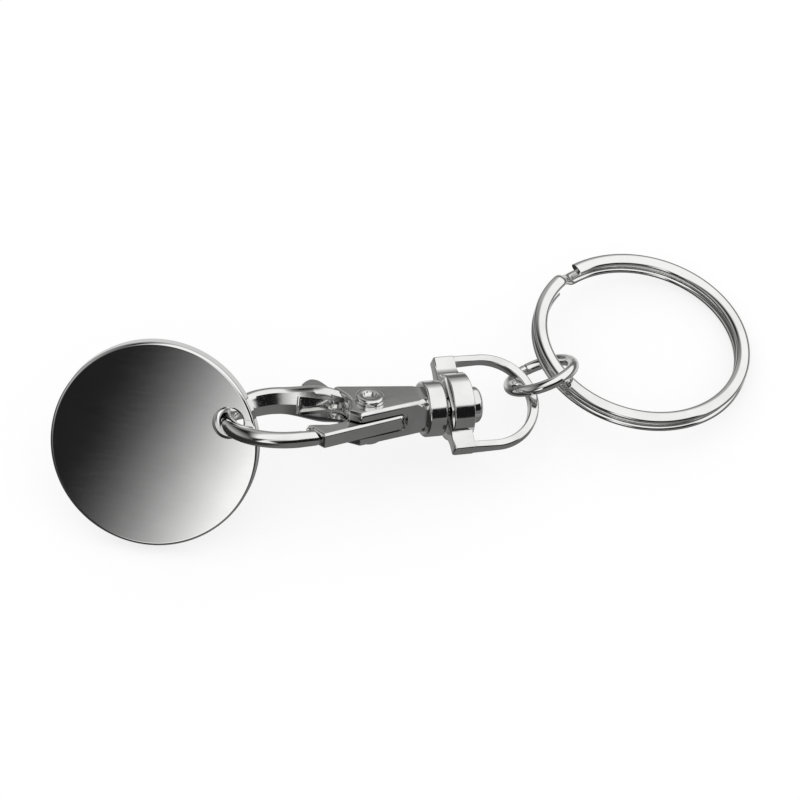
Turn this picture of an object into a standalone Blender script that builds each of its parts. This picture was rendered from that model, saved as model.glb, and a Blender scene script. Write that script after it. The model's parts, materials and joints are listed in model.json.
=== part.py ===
"""Coin holder keyring: a trolley token on a swivel snap hook, with a jump ring and a split key ring.

Lengths are metres and +Z is up. The keyring lies on the ground as it would on a table: the
token leans on its rim at the low X end, the key ring lies at the high X end, and the snap hook
bridges the two. Each sub-part is modelled in its own frame and carried by the empty that it
turns on, so every moving piece has its joint axis along X of that empty.
"""
import math

import bmesh
import bpy
from mathutils import Euler, Matrix, Vector

# Clearances and working values
SEAT_GAP = 0.0003
HEAD_GAP = 0.0002
GATE_GAP = 0.0002
WELD_DISTANCE = 0.000001
CUT_OVERRUN = 0.003

# Token
TOKEN_DIAMETER = 0.0233
TOKEN_THICKNESS = 0.0021
TOKEN_EDGE_CHAMFER = 0.0002
TOKEN_HOLE_DIAMETER = 0.0032
TOKEN_HOLE_CHAMFER = 0.00015
TOKEN_HOLE_MARGIN = 0.00275

# Clasp body, measured from the collar's end face on the clasp's long axis
COLLAR_DIAMETER = 0.0063
COLLAR_LENGTH = 0.0022
COLLAR_CHAMFER = 0.00025
NECK_LENGTH = 0.0009
NECK_BLEND_LENGTH = 0.0038
NECK_HALF_HEIGHT = 0.0022
NECK_FAR_SIDE = 0.0016
NECK_NEAR_SIDE = 0.0019
NECK_BLEND_SIDE = 0.0022
BODY_REACH = 0.0120
BODY_HALF_DEPTH = 0.0035
BODY_THICKNESS = 0.0042
BODY_EDGE_CHAMFER = 0.0002
BODY_OUTLINE_SHARES = (
    (-0.14, -0.45),
    (-0.14, 0.46),
    (-0.24, 0.60),
    (-0.95, 0.96),
    (-1.00, 0.92),
    (-0.955, 0.62),
    (-0.915, 0.30),
    (-0.90, 0.03),
    (-0.935, -0.35),
    (-0.985, -0.66),
    (-0.86, -1.00),
)

# Web under the spine where it leaves the plates: reach, inner side, outer side, half height
WEB_SECTIONS = (
    (0.01585, 0.0032, 0.0042, 0.0013),
    (0.01345, 0.00187, 0.0038, 0.00172),
    (0.01255, 0.00123, 0.0034, 0.00187),
    (0.0113, 0.0003, 0.0027, 0.00187),
)

# Slot for the lever, and the fork that it makes of the spine
SLOT_END = 0.0041
SLOT_MOUTH_REACH = 0.0126
FORK_REACH = 0.0161
FORK_FLOOR = 0.0016

# Hook: half an oval, then a straight run to the tip
HOOK_CENTRE_X = 0.01775
HOOK_CENTRE_Y = 0.0006
HOOK_BEND_LENGTH = 0.0068
HOOK_SPINE_RISE = 0.0041
HOOK_TIP_DROP = 0.0046
HOOK_ROOT_X = 0.0098
HOOK_ROOT_Y = 0.0019
HOOK_ROOT_PULL_X = 0.0124
HOOK_ROOT_PULL_Y = 0.0044
SPINE_HALF_THICKNESS = 0.0012
SPINE_HALF_HEIGHT = 0.0016
SPINE_ROOT_HALF_HEIGHT = 0.0019
WIRE_RADIUS = 0.00092
TIP_RADIUS = 0.00085
HOOK_ARC_START = 75.0
HOOK_TAPER_START = 105.0
HOOK_TAPER_END = 160.0
HOOK_ARC_END = 270.0
HOOK_ARC_STEPS = 30
HOOK_ROOT_STEPS = 6
HOOK_SIDES = 16
FACET_DEPTH_SHARE = 0.5
FACET_HEIGHT_SHARE = 0.86

# Lever, measured from its rivet
PIVOT_X = 0.0086
PIVOT_Y = 0.0005
LEVER_REACH = 0.0079
LEVER_THICKNESS = 0.0016
LEVER_EDGE_CHAMFER = 0.0002
GATE_NEAR_DEPTH = 0.0046
GATE_LIP_DEPTH = 0.00257
GATE_END_STEPS = 4
LEVER_OUTLINE_SHARES = (
    (0.42, -0.285),
    (0.475, -0.25),
    (0.48, -0.19),
    (0.43, -0.14),
    (0.28, 0.075),
    (0.12, 0.325),
    (-0.13, 0.485),
    (-0.31, 0.625),
    (-0.36, 0.735),
    (-0.405, 0.855),
    (-0.45, 0.935),
    (-0.53, 0.99),
    (-0.6, 0.98),
    (-0.665, 0.94),
    (-0.73, 0.875),
    (-0.77, 0.785),
    (-0.8, 0.685),
    (-0.91, 0.435),
    (-0.33, 0.425),
    (-0.27, 0.335),
    (-0.255, 0.105),
    (-0.32, -0.115),
    (-0.44, -0.24),
    (-0.62, -0.275),
    (-1.01, -0.305),
    (-1.01, -0.325),
)

# Lever rivet
RIVET_SHANK_DIAMETER = 0.0015
RIVET_HEAD_DIAMETER = 0.0032
RIVET_HEAD_HEIGHT = 0.0008
RIVET_RECESS_DIAMETER = 0.0014
RIVET_RECESS_DEPTH = 0.0005
RIVET_ROLL = 0.00025

# Lever spring, a short coil between the lever's back and the end of the slot
SPRING_WIRE_RADIUS = 0.00014
SPRING_COIL_RADIUS = 0.00072
SPRING_TURNS = 4
SPRING_POINTS_PER_TURN = 10
SPRING_LEVER_END_SHARE = 0.2405
SPRING_RISE = 0.0014

# Swivel post
POST_SHANK_DIAMETER = 0.0019
POST_HEAD_DIAMETER = 0.0041
POST_HEAD_RIM = 0.0008
POST_HEAD_DOME = 0.0006
POST_DEPTH_IN_COLLAR = 0.0026
POST_DOME_STEPS = 5

# Swivel eye
EYE_HALF_WIDTH = 0.0059
EYE_SIDE_SHIFT = 0.00015
EYE_WIRE_INSET = 0.00006
EYE_WIRE_WIDTH = 0.00095
EYE_WIRE_HEIGHT = 0.0012
EYE_WIRE_INNER_CHAMFER = 0.0002
EYE_WIRE_OUTER_CHAMFER = 0.0003
EYE_BEND_SWELL = 0.18
EYE_ARM_RUN = 0.00555
EYE_BAR_LENGTH = 0.00255
EYE_BAR_THICKNESS = 0.0018
EYE_BAR_CHAMFER = 0.0002
EYE_BOSS_DIAMETER = 0.0075
EYE_BOSS_START = 0.00025
EYE_BOSS_LENGTH = 0.00245
EYE_BOSS_CHAMFER = 0.0003
EYE_ARC_STEPS = 24

# Jump ring
JUMP_WIRE_DIAMETER = 0.0013
JUMP_MEAN_RADIUS = 0.0038
JUMP_SEAM = 0.0002
JUMP_STEPS = 48
JUMP_HANG_GAP = 0.00043

# Split key ring: one flat wire wound twice round, with a crossover
SPLIT_OUTER_DIAMETER = 0.0252
SPLIT_WIRE_WIDTH = 0.0016
SPLIT_WIRE_HEIGHT = 0.00085
SPLIT_COIL_GAP = 0.00044
SPLIT_WIRE_CHAMFER = 0.00026
SPLIT_HANG_GAP = 0.00072
SPLIT_CROSSOVER_ANGLE = 24.0
SPLIT_END_CLEARANCE_ANGLE = 6.0
SPLIT_STEP_ANGLE = 6.0

# Pose of the snap hook on the ground, and of each piece on what carries it, in degrees
CLASP_TURN = (-22.95, 11.4, 14.25)
EYE_TURN = 32.0
TOKEN_SEAT_ANGLE = 169.0
TOKEN_AXIS_TURN = (0.0, -13.6, 9.5)
TOKEN_TURN = (-159.3, -2.3, -17.1)
TOKEN_PLAY_ANGLE = 161.0
JUMP_SEAT_ANGLE = 20.5
JUMP_TURN = (171.7, -38.2, 5.1)
SPLIT_SEAT_ANGLE = 6.1
SPLIT_AXIS_TURN = (0.0, -20.8, -174.1)
SPLIT_TURN = (18.5, 152.3, 3.4)
SPLIT_CUT_ANGLE = -13.0

ROUND_SEGMENTS = 32
DISC_SEGMENTS = 72
WIRE_RESOLUTION = 2
FINE_WIRE_RESOLUTION = 1

# Finish of each node: base colour, roughness
FINISHES = {
    "token": ((0.80, 0.80, 0.80), 0.06),
    "clasp_body": ((0.74, 0.74, 0.73), 0.14),
    "lever": ((0.72, 0.72, 0.71), 0.16),
    "lever_rivet": ((0.78, 0.78, 0.77), 0.12),
    "lever_spring": ((0.62, 0.62, 0.60), 0.30),
    "swivel_rivet": ((0.78, 0.78, 0.77), 0.12),
    "swivel_eye": ((0.76, 0.76, 0.75), 0.12),
    "jump_ring": ((0.77, 0.77, 0.76), 0.12),
    "split_ring": ((0.79, 0.79, 0.78), 0.10),
}


def clear_scene():
    """Remove every object of the opened file."""
    for old in list(bpy.data.objects):
        bpy.data.objects.remove(old, do_unlink=True)


def new_collection(name):
    """Return a collection of that name, linked to the scene."""
    collection = bpy.data.collections.new(name)
    bpy.context.scene.collection.children.link(collection)
    return collection


def new_object(name, data, collection, parent=None):
    """Return an object that holds the data, linked and parented."""
    made = bpy.data.objects.new(name, data)
    collection.objects.link(made)
    made.parent = parent
    return made


def new_pivot(name, parent, matrix):
    """Return an empty whose X axis is the axis that its children turn on."""
    pivot = new_object(name, None, PARTS, parent)
    pivot.matrix_basis = matrix
    return pivot


def as_tool(made):
    """Keep a cutter or a joined shape out of the finished part."""
    made.hide_render = True
    made.display_type = "WIRE"
    return made


def new_tool(name, data, parent):
    """Return a shape that only cuts or joins another."""
    return as_tool(new_object(name, data, TOOLS, parent))


def mesh_from(bm, name):
    """Turn a bmesh into a mesh with smooth faces and sharp corners."""
    mesh = bpy.data.meshes.new(name)
    bmesh.ops.recalc_face_normals(bm, faces=bm.faces)
    bm.to_mesh(mesh)
    bm.free()
    mesh.shade_smooth()
    mesh.set_sharp_from_angle(angle=math.radians(35.0))
    return mesh


def box_mesh(name, low, high):
    """Return a box between two corners."""
    bm = bmesh.new()
    bmesh.ops.create_cube(bm, size=1.0)
    size = [top - bottom for bottom, top in zip(low, high)]
    middle = [(top + bottom) / 2 for bottom, top in zip(low, high)]
    bmesh.ops.scale(bm, vec=size, verts=bm.verts)
    bmesh.ops.translate(bm, vec=middle, verts=bm.verts)
    return mesh_from(bm, name)


def rod_mesh(name, radius, start, end, segments=ROUND_SEGMENTS, end_radius=None):
    """Return a cylinder or cone along X from start to end."""
    bm = bmesh.new()
    bmesh.ops.create_cone(
        bm, cap_ends=True, segments=segments, radius1=radius,
        radius2=radius if end_radius is None else end_radius, depth=end - start,
    )
    bmesh.ops.rotate(bm, matrix=Matrix.Rotation(math.pi / 2, 3, "Y"), verts=bm.verts)
    bmesh.ops.translate(bm, vec=((start + end) / 2, 0, 0), verts=bm.verts)
    return mesh_from(bm, name)


def add_turned(name, profile, collection, parent, segments):
    """Return a shape turned about Z from a profile of radius and height, top to bottom."""
    mesh = bpy.data.meshes.new(name)
    edges = [(place, place + 1) for place in range(len(profile) - 1)]
    mesh.from_pydata([(radius, 0, height) for radius, height in profile], edges, [])
    made = new_object(name, mesh, collection, parent)
    screw = made.modifiers.new("Turn", "SCREW")
    screw.steps = segments
    screw.render_steps = segments
    screw.use_merge_vertices = True
    screw.merge_threshold = WELD_DISTANCE
    screw.use_smooth_shade = True
    return made


def add_bevel(made, width, angle=30.0):
    """Chamfer the sharp edges of a solid."""
    bevel = made.modifiers.new("Edge", "BEVEL")
    bevel.width = width
    bevel.segments = 1
    bevel.limit_method = "ANGLE"
    bevel.angle_limit = math.radians(angle)


def add_boolean(made, tool, operation):
    """Join a shape to a solid, or cut it away."""
    boolean = made.modifiers.new(operation.title(), "BOOLEAN")
    boolean.operation = operation
    boolean.object = tool
    boolean.solver = "EXACT"


def baked(made):
    """Return the mesh that an object's curve and modifiers make, welded."""
    bpy.context.view_layer.update()
    seen = made.evaluated_get(bpy.context.evaluated_depsgraph_get())
    mesh = bpy.data.meshes.new_from_object(seen)
    bm = bmesh.new()
    bm.from_mesh(mesh)
    bmesh.ops.remove_doubles(bm, verts=bm.verts, dist=WELD_DISTANCE)
    bpy.data.meshes.remove(mesh)
    return mesh_from(bm, made.name)


def curve_to_solid(curve):
    """Replace a curve object by the closed mesh that it draws, in its place."""
    name, collection, parent = curve.name, curve.users_collection[0], curve.parent
    place = curve.matrix_basis.copy()
    mesh = baked(curve)
    bpy.data.objects.remove(curve, do_unlink=True)
    solid = new_object(name, mesh, collection, parent)
    solid.matrix_basis = place
    return solid


def spline_of(curve, points, closed):
    """Add a poly spline through the points."""
    spline = curve.splines.new("POLY")
    spline.points.add(len(points) - 1)
    for knot, point in zip(spline.points, points):
        knot.co = (*point, 1)
    spline.use_cyclic_u = closed


def add_plate(name, outline, thickness, collection, parent):
    """Return a flat plate of that outline, centred on its own XY plane."""
    curve = bpy.data.curves.new(name, "CURVE")
    curve.dimensions = "2D"
    curve.fill_mode = "BOTH"
    curve.extrude = thickness / 2
    spline_of(curve, [(x, y, 0) for x, y in outline], True)
    return curve_to_solid(new_object(name, curve, collection, parent))


def add_wire(name, points, radius, resolution, collection, parent):
    """Return a round wire with closed ends along the points."""
    curve = bpy.data.curves.new(name, "CURVE")
    curve.dimensions = "3D"
    curve.bevel_depth = radius
    curve.bevel_resolution = resolution
    curve.use_fill_caps = True
    spline_of(curve, points, False)
    return curve_to_solid(new_object(name, curve, collection, parent))


def add_swept(name, points, swells, section, collection, parent):
    """Return a solid swept along the points, with its section kept upright and swelling."""
    profile = bpy.data.curves.new(name + "_section", "CURVE")
    profile.dimensions = "2D"
    spline_of(profile, [(x, y, 0) for x, y in section], True)
    outline = new_tool(name + "_section", profile, parent)
    curve = bpy.data.curves.new(name, "CURVE")
    curve.dimensions = "3D"
    curve.twist_mode = "Z_UP"
    curve.bevel_mode = "OBJECT"
    curve.bevel_object = outline
    curve.use_fill_caps = True
    spline_of(curve, points, False)
    for knot, swell in zip(curve.splines[0].points, swells):
        knot.radius = swell
    solid = curve_to_solid(new_object(name, curve, collection, parent))
    bpy.data.objects.remove(outline, do_unlink=True)
    return solid


def loft_mesh(name, rings):
    """Return a closed solid through rings that have the same number of points."""
    bm = bmesh.new()
    loops = [[bm.verts.new(point) for point in ring] for ring in rings]
    count = len(rings[0])
    for first, second in zip(loops, loops[1:]):
        for place in range(count):
            after = (place + 1) % count
            bm.faces.new((first[place], first[after], second[after], second[place]))
    bm.faces.new(loops[0])
    bm.faces.new(loops[-1])
    return mesh_from(bm, name)


def turn(angles):
    """Return the rotation of three angles in degrees, about X, then Y, then Z."""
    return Euler([math.radians(angle) for angle in angles], "XYZ").to_matrix().to_4x4()


def seat_frame(point, tangent, normal):
    """Return the frame at a point of a wire: X along the wire, Z across the plane it lies in."""
    along = Vector(tangent).normalized()
    across = Vector(normal)
    side = across.cross(along).normalized()
    frame = Matrix((along, side, along.cross(side))).transposed().to_4x4()
    frame.translation = Vector(point)
    return frame


def smooth_step(share):
    """Ease from 0 to 1."""
    share = min(max(share, 0), 1)
    return share * share * (3 - 2 * share)


def blend(first, last, share):
    """Mix two values."""
    return first + (last - first) * share


# Hook centreline and sections

def hook_point(angle):
    """Return a point of the hook's oval and its direction of travel, in the clasp's plane."""
    turned = math.radians(angle)
    rise = HOOK_SPINE_RISE if angle < 180 else HOOK_TIP_DROP
    point = Vector((
        -HOOK_CENTRE_X + HOOK_BEND_LENGTH * math.cos(turned),
        HOOK_CENTRE_Y + rise * math.sin(turned),
        0,
    ))
    travel = Vector((-HOOK_BEND_LENGTH * math.sin(turned), rise * math.cos(turned), 0))
    return point, travel.normalized()


def root_point(share):
    """Return a point and direction on the spine's run from inside the body to the oval."""
    start = Vector((-HOOK_ROOT_X, HOOK_ROOT_Y, 0))
    pull = Vector((-HOOK_ROOT_PULL_X, HOOK_ROOT_PULL_Y, 0))
    end = hook_point(HOOK_ARC_START)[0]
    point = start * (1 - share) ** 2 + pull * 2 * share * (1 - share) + end * share ** 2
    travel = (pull - start) * (1 - share) + (end - pull) * share
    return point, travel.normalized()


def section_offsets(half_thickness, half_height, facet):
    """Return a section's offsets away from the loop and up: round, or with two flats inside."""
    offsets = []
    for place in range(HOOK_SIDES):
        angle = math.tau * place / HOOK_SIDES
        out, up = math.cos(angle), math.sin(angle)
        reach = abs(math.pi - angle) / math.radians(67.5)
        if reach <= 1:
            flat_out = -1 + FACET_DEPTH_SHARE * reach
            flat_up = FACET_HEIGHT_SHARE * reach * (1 if angle < math.pi else -1)
            out = blend(out, flat_out, facet)
            up = blend(up, flat_up, facet)
        offsets.append((half_thickness * out, half_height * up))
    return offsets


def hook_ring(point, travel, offsets, slant=0.0):
    """Place a section at a point, square to the travel or slanted at the tip."""
    away = Vector((travel.y, -travel.x, 0))
    ring = []
    for out, up in offsets:
        ring.append(point + away * out + Vector((0, 0, up)) + travel * out * math.tan(slant))
    return ring


def tip_place():
    """Return the middle of the hook's end face and the slant that lets the gate swing past it."""
    level = HOOK_CENTRE_Y - HOOK_TIP_DROP
    drop = -PIVOT_Y - level
    reach = LEVER_REACH + GATE_GAP
    return Vector((-PIVOT_X - math.sqrt(reach ** 2 - drop ** 2), level, 0)), math.asin(drop / reach)


def hook_rings():
    """Return every section of the hook, from its root in the body to the tip."""
    rings = []
    for step in range(HOOK_ROOT_STEPS):
        share = step / HOOK_ROOT_STEPS
        height = blend(SPINE_ROOT_HALF_HEIGHT, SPINE_HALF_HEIGHT, share)
        offsets = section_offsets(SPINE_HALF_THICKNESS, height, 1.0)
        rings.append(hook_ring(*root_point(share), offsets))
    for step in range(HOOK_ARC_STEPS + 1):
        angle = blend(HOOK_ARC_START, HOOK_ARC_END, step / HOOK_ARC_STEPS)
        taper = smooth_step((angle - HOOK_TAPER_START) / (HOOK_TAPER_END - HOOK_TAPER_START))
        thickness = blend(SPINE_HALF_THICKNESS, WIRE_RADIUS, taper)
        height = blend(SPINE_HALF_HEIGHT, WIRE_RADIUS, taper)
        rings.append(hook_ring(*hook_point(angle), section_offsets(thickness, height, 1 - taper)))
    tip, slant = tip_place()
    offsets = section_offsets(TIP_RADIUS, TIP_RADIUS, 0)
    rings.append(hook_ring(tip, Vector((1, 0, 0)), offsets, slant))
    return rings


# Sub-parts

def slot_half_width():
    """Return half the width of the slot that the lever turns in."""
    return LEVER_THICKNESS / 2 + SEAT_GAP


def body_outline():
    """Return the outline of the cheek plates in the clasp's plane."""
    return [(x * BODY_REACH, y * BODY_HALF_DEPTH) for x, y in BODY_OUTLINE_SHARES]


def box_ring(along, near, far, half_height):
    """Return eight points round an upright rectangle across the clasp's axis."""
    middle = (far - near) / 2
    square = [(far, 0), (far, 1), (middle, 1), (-near, 1), (-near, 0), (-near, -1), (middle, -1), (far, -1)]
    return [Vector((along, side, up * half_height)) for side, up in square]


def round_ring(along, radius, points):
    """Return points round a circle across the clasp's axis."""
    angles = [math.tau * place / points for place in range(points)]
    return [Vector((along, radius * math.cos(angle), radius * math.sin(angle))) for angle in angles]


def neck_rings():
    """Return the sections of the neck, from inside the plates to inside the collar."""
    blend_start = -COLLAR_LENGTH - NECK_LENGTH - NECK_BLEND_LENGTH
    return [
        box_ring(blend_start, NECK_BLEND_SIDE, NECK_BLEND_SIDE, BODY_THICKNESS / 2 - BODY_EDGE_CHAMFER),
        box_ring(-COLLAR_LENGTH - NECK_LENGTH, NECK_NEAR_SIDE, NECK_FAR_SIDE, NECK_HALF_HEIGHT),
        round_ring(-COLLAR_LENGTH + COLLAR_CHAMFER, COLLAR_DIAMETER / 2 - COLLAR_CHAMFER, 8),
    ]


def web_rings():
    """Return the sections of the web that carries the plates out along the spine."""
    return [box_ring(-reach, -inner, outer, high) for reach, inner, outer, high in WEB_SECTIONS]


def build_clasp_body(frame):
    """Cast body: plates, spine and hook, neck and collar, with the slot and the bores cut."""
    body = add_plate("clasp_body", body_outline(), BODY_THICKNESS, PARTS, frame)
    add_bevel(body, BODY_EDGE_CHAMFER)
    collar = new_tool("collar", rod_mesh("collar", COLLAR_DIAMETER / 2, -COLLAR_LENGTH, 0), frame)
    add_bevel(collar, COLLAR_CHAMFER)
    neck = new_tool("neck", loft_mesh("neck", neck_rings()), frame)
    hook = new_tool("hook", loft_mesh("hook", hook_rings()), frame)
    web = new_tool("web", loft_mesh("web", web_rings()), frame)
    half_slot = slot_half_width()
    past_body = BODY_HALF_DEPTH + CUT_OVERRUN
    slot = new_tool("slot", box_mesh(
        "slot", (-SLOT_MOUTH_REACH, -past_body, -half_slot), (-SLOT_END, past_body, half_slot)), frame)
    fork = new_tool("fork", box_mesh(
        "fork", (-FORK_REACH, FORK_FLOOR, -half_slot),
        (-SLOT_MOUTH_REACH + CUT_OVERRUN, past_body, half_slot)), frame)
    bore = new_tool("post_bore", rod_mesh(
        "post_bore", POST_SHANK_DIAMETER / 2 + SEAT_GAP, -POST_DEPTH_IN_COLLAR - SEAT_GAP,
        CUT_OVERRUN), frame)
    past_plate = BODY_THICKNESS / 2 + CUT_OVERRUN
    pivot_bore = new_tool("pivot_bore", rod_mesh(
        "pivot_bore", RIVET_SHANK_DIAMETER / 2 + SEAT_GAP, -past_plate, past_plate), frame)
    pivot_bore.location = (-PIVOT_X, -PIVOT_Y, 0)
    pivot_bore.rotation_euler = (0, math.pi / 2, 0)
    for piece in (neck, collar, hook, web):
        add_boolean(body, piece, "UNION")
    for cutter in (slot, fork, bore, pivot_bore):
        add_boolean(body, cutter, "DIFFERENCE")
    return body


def lever_outline():
    """Return the lever's outline round its rivet, with the gate's end on an arc about it."""
    outline = [(x * LEVER_REACH, y * LEVER_REACH) for x, y in LEVER_OUTLINE_SHARES]
    start = math.pi + math.asin(GATE_LIP_DEPTH / LEVER_REACH)
    end = math.pi + math.asin(GATE_NEAR_DEPTH / LEVER_REACH)
    for step in range(GATE_END_STEPS + 1):
        angle = blend(start, end, step / GATE_END_STEPS)
        outline.append((LEVER_REACH * math.cos(angle), LEVER_REACH * math.sin(angle)))
    return outline


def build_lever(pivot):
    """Gate and thumb trigger in one plate, turning on the rivet."""
    lever = add_plate("lever", lever_outline(), LEVER_THICKNESS, PARTS, pivot)
    add_bevel(lever, LEVER_EDGE_CHAMFER, 40.0)
    bore = new_tool("lever_bore", rod_mesh(
        "lever_bore", RIVET_SHANK_DIAMETER / 2 + SEAT_GAP, -CUT_OVERRUN, CUT_OVERRUN), pivot)
    add_boolean(lever, bore, "DIFFERENCE")
    lever.matrix_basis = Matrix.Rotation(-math.pi / 2, 4, "Y")
    return lever


def build_lever_rivet(frame):
    """Semi-tubular rivet: a head with a rolled rim and a recess at each end of the shank."""
    seat = BODY_THICKNESS / 2 + HEAD_GAP
    top = seat + RIVET_HEAD_HEIGHT
    shank, head, recess = RIVET_SHANK_DIAMETER / 2, RIVET_HEAD_DIAMETER / 2, RIVET_RECESS_DIAMETER / 2
    half = [
        (0, top - RIVET_RECESS_DEPTH),
        (recess - RIVET_ROLL, top - RIVET_RECESS_DEPTH),
        (recess, top),
        (head - RIVET_ROLL, top),
        (head, top - RIVET_ROLL),
        (head, seat),
        (shank, seat),
    ]
    profile = half + [(radius, -height) for radius, height in reversed(half)]
    rivet = add_turned("lever_rivet", profile, PARTS, frame, ROUND_SEGMENTS)
    rivet.location = (-PIVOT_X, -PIVOT_Y, 0)
    return rivet


def build_lever_spring(frame):
    """Closing spring: a short coil along X between the lever's back and the slot's end."""
    lever_end = SPRING_LEVER_END_SHARE * LEVER_REACH
    start = -PIVOT_X + lever_end + SEAT_GAP + SPRING_WIRE_RADIUS
    end = -SLOT_END - SEAT_GAP - SPRING_WIRE_RADIUS
    count = SPRING_TURNS * SPRING_POINTS_PER_TURN
    points = []
    for step in range(count + 1):
        angle = math.tau * step / SPRING_POINTS_PER_TURN
        points.append((
            blend(start, end, step / count),
            -PIVOT_Y + SPRING_RISE + SPRING_COIL_RADIUS * math.cos(angle),
            SPRING_COIL_RADIUS * math.sin(angle),
        ))
    least = (end - start) / SPRING_TURNS - 2 * SPRING_WIRE_RADIUS
    print("lever spring, least gap between its turns, m:", round(least, 6))
    return add_wire("lever_spring", points, SPRING_WIRE_RADIUS, FINE_WIRE_RESOLUTION, PARTS, frame)


def boss_end():
    """Return where the eye's boss ends, on the side away from the collar."""
    return SEAT_GAP + EYE_BOSS_START + EYE_BOSS_LENGTH


def build_swivel_rivet(frame):
    """Swivel post: a shank in the collar and the boss, with a domed head inside the eye."""
    seat = boss_end() + SEAT_GAP
    head, shank = POST_HEAD_DIAMETER / 2, POST_SHANK_DIAMETER / 2
    rim = seat + POST_HEAD_RIM
    profile = []
    for step in range(POST_DOME_STEPS + 1):
        angle = math.pi / 2 * (1 - step / POST_DOME_STEPS)
        profile.append((head * math.cos(angle), rim + POST_HEAD_DOME * math.sin(angle)))
    profile[0] = (0, rim + POST_HEAD_DOME)
    foot = -POST_DEPTH_IN_COLLAR
    profile += [(head, seat), (shank, seat), (shank, foot), (0, foot)]
    post = add_turned("swivel_rivet", profile, PARTS, frame, ROUND_SEGMENTS)
    post.rotation_euler = (0, math.pi / 2, 0)
    return post


def eye_arc_radius():
    """Return the radius of the eye's bend on the middle of its wire."""
    return EYE_HALF_WIDTH - EYE_WIRE_INSET - EYE_WIRE_WIDTH / 2


def eye_arc_point(angle):
    """Return a point in the middle of the eye's bend and the wire's direction there."""
    turned = math.radians(angle)
    radius = eye_arc_radius()
    across = EYE_SIDE_SHIFT + radius * math.sin(turned)
    point = Vector((EYE_ARM_RUN + radius * math.cos(turned), across, 0))
    return point, Vector((-math.sin(turned), math.cos(turned), 0))


def eye_section():
    """Return the section of the eye's wire: flat inside, above and below, rounded outside."""
    wide, high = EYE_WIRE_WIDTH / 2, EYE_WIRE_HEIGHT / 2
    inner, outer = EYE_WIRE_INNER_CHAMFER, EYE_WIRE_OUTER_CHAMFER
    return [
        (wide, -high + outer), (wide, high - outer), (wide - outer, high), (-wide + inner, high),
        (-wide, high - inner), (-wide, -high + inner), (-wide + inner, -high), (wide - outer, -high),
    ]


def eye_bow_path():
    """Return the points of the eye's wire and how much it swells towards its bend."""
    arm = SEAT_GAP + EYE_BAR_LENGTH / 2
    points = [(arm, EYE_SIDE_SHIFT - eye_arc_radius(), 0)]
    swells = [1.0]
    for step in range(EYE_ARC_STEPS + 1):
        angle = blend(-90.0, 90.0, step / EYE_ARC_STEPS)
        points.append(eye_arc_point(angle)[0])
        swells.append(1 + EYE_BEND_SWELL * math.cos(math.radians(angle)))
    points.append((arm, EYE_SIDE_SHIFT + eye_arc_radius(), 0))
    swells.append(1.0)
    return points, swells


def build_swivel_eye(pivot):
    """D-shaped eye: a bar with a boss in its middle, and a bent wire from end to end."""
    start, end = SEAT_GAP, SEAT_GAP + EYE_BAR_LENGTH
    half_bar = EYE_BAR_THICKNESS / 2
    eye = new_object("swivel_eye", box_mesh(
        "swivel_eye", (start, EYE_SIDE_SHIFT - EYE_HALF_WIDTH, -half_bar),
        (end, EYE_SIDE_SHIFT + EYE_HALF_WIDTH, half_bar)), PARTS, pivot)
    add_bevel(eye, EYE_BAR_CHAMFER)
    boss = new_tool("boss", rod_mesh(
        "boss", EYE_BOSS_DIAMETER / 2, start + EYE_BOSS_START, boss_end()), pivot)
    add_bevel(boss, EYE_BOSS_CHAMFER)
    points, swells = eye_bow_path()
    bow = as_tool(add_swept("bow", points, swells, eye_section(), TOOLS, pivot))
    head_room = new_tool("head_room", rod_mesh(
        "head_room", POST_HEAD_DIAMETER / 2 + SEAT_GAP, boss_end(), boss_end() + CUT_OVERRUN), pivot)
    bore = new_tool("eye_bore", rod_mesh(
        "eye_bore", POST_SHANK_DIAMETER / 2 + SEAT_GAP, -CUT_OVERRUN,
        boss_end() + CUT_OVERRUN), pivot)
    add_boolean(eye, bow, "UNION")
    add_boolean(eye, boss, "UNION")
    add_boolean(eye, head_room, "DIFFERENCE")
    add_boolean(eye, bore, "DIFFERENCE")
    return eye


def build_token(pivot):
    """Token: a chamfered disc with a drilled and countersunk hole off its middle."""
    half, radius = TOKEN_THICKNESS / 2, TOKEN_DIAMETER / 2
    flat = radius - TOKEN_EDGE_CHAMFER
    side = half - TOKEN_EDGE_CHAMFER
    profile = [(0, half), (flat, half), (radius, side), (radius, -side), (flat, -half), (0, -half)]
    token = add_turned("token", profile, PARTS, pivot, DISC_SEGMENTS)
    hole = TOKEN_HOLE_DIAMETER / 2
    sunk = hole + TOKEN_HOLE_CHAMFER + CUT_OVERRUN
    throat = half - TOKEN_HOLE_CHAMFER
    past = half + CUT_OVERRUN
    cut = [(0, past), (sunk, past), (hole, throat), (hole, -throat), (sunk, -past), (0, -past)]
    drill = as_tool(add_turned("token_drill", cut, TOOLS, pivot, ROUND_SEGMENTS))
    add_boolean(token, drill, "DIFFERENCE")
    play = hole - WIRE_RADIUS - SEAT_GAP
    direction = math.radians(TOKEN_PLAY_ANGLE)
    shift = Vector((0, play * math.cos(direction), play * math.sin(direction)))
    upright = Matrix.Rotation(math.pi / 2, 4, "Y")
    drill.matrix_basis = turn(TOKEN_TURN) @ Matrix.Translation(shift) @ upright
    centre = shift + Vector((0, radius - TOKEN_HOLE_MARGIN, 0))
    token.matrix_basis = turn(TOKEN_TURN) @ Matrix.Translation(centre) @ upright
    return token


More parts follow.
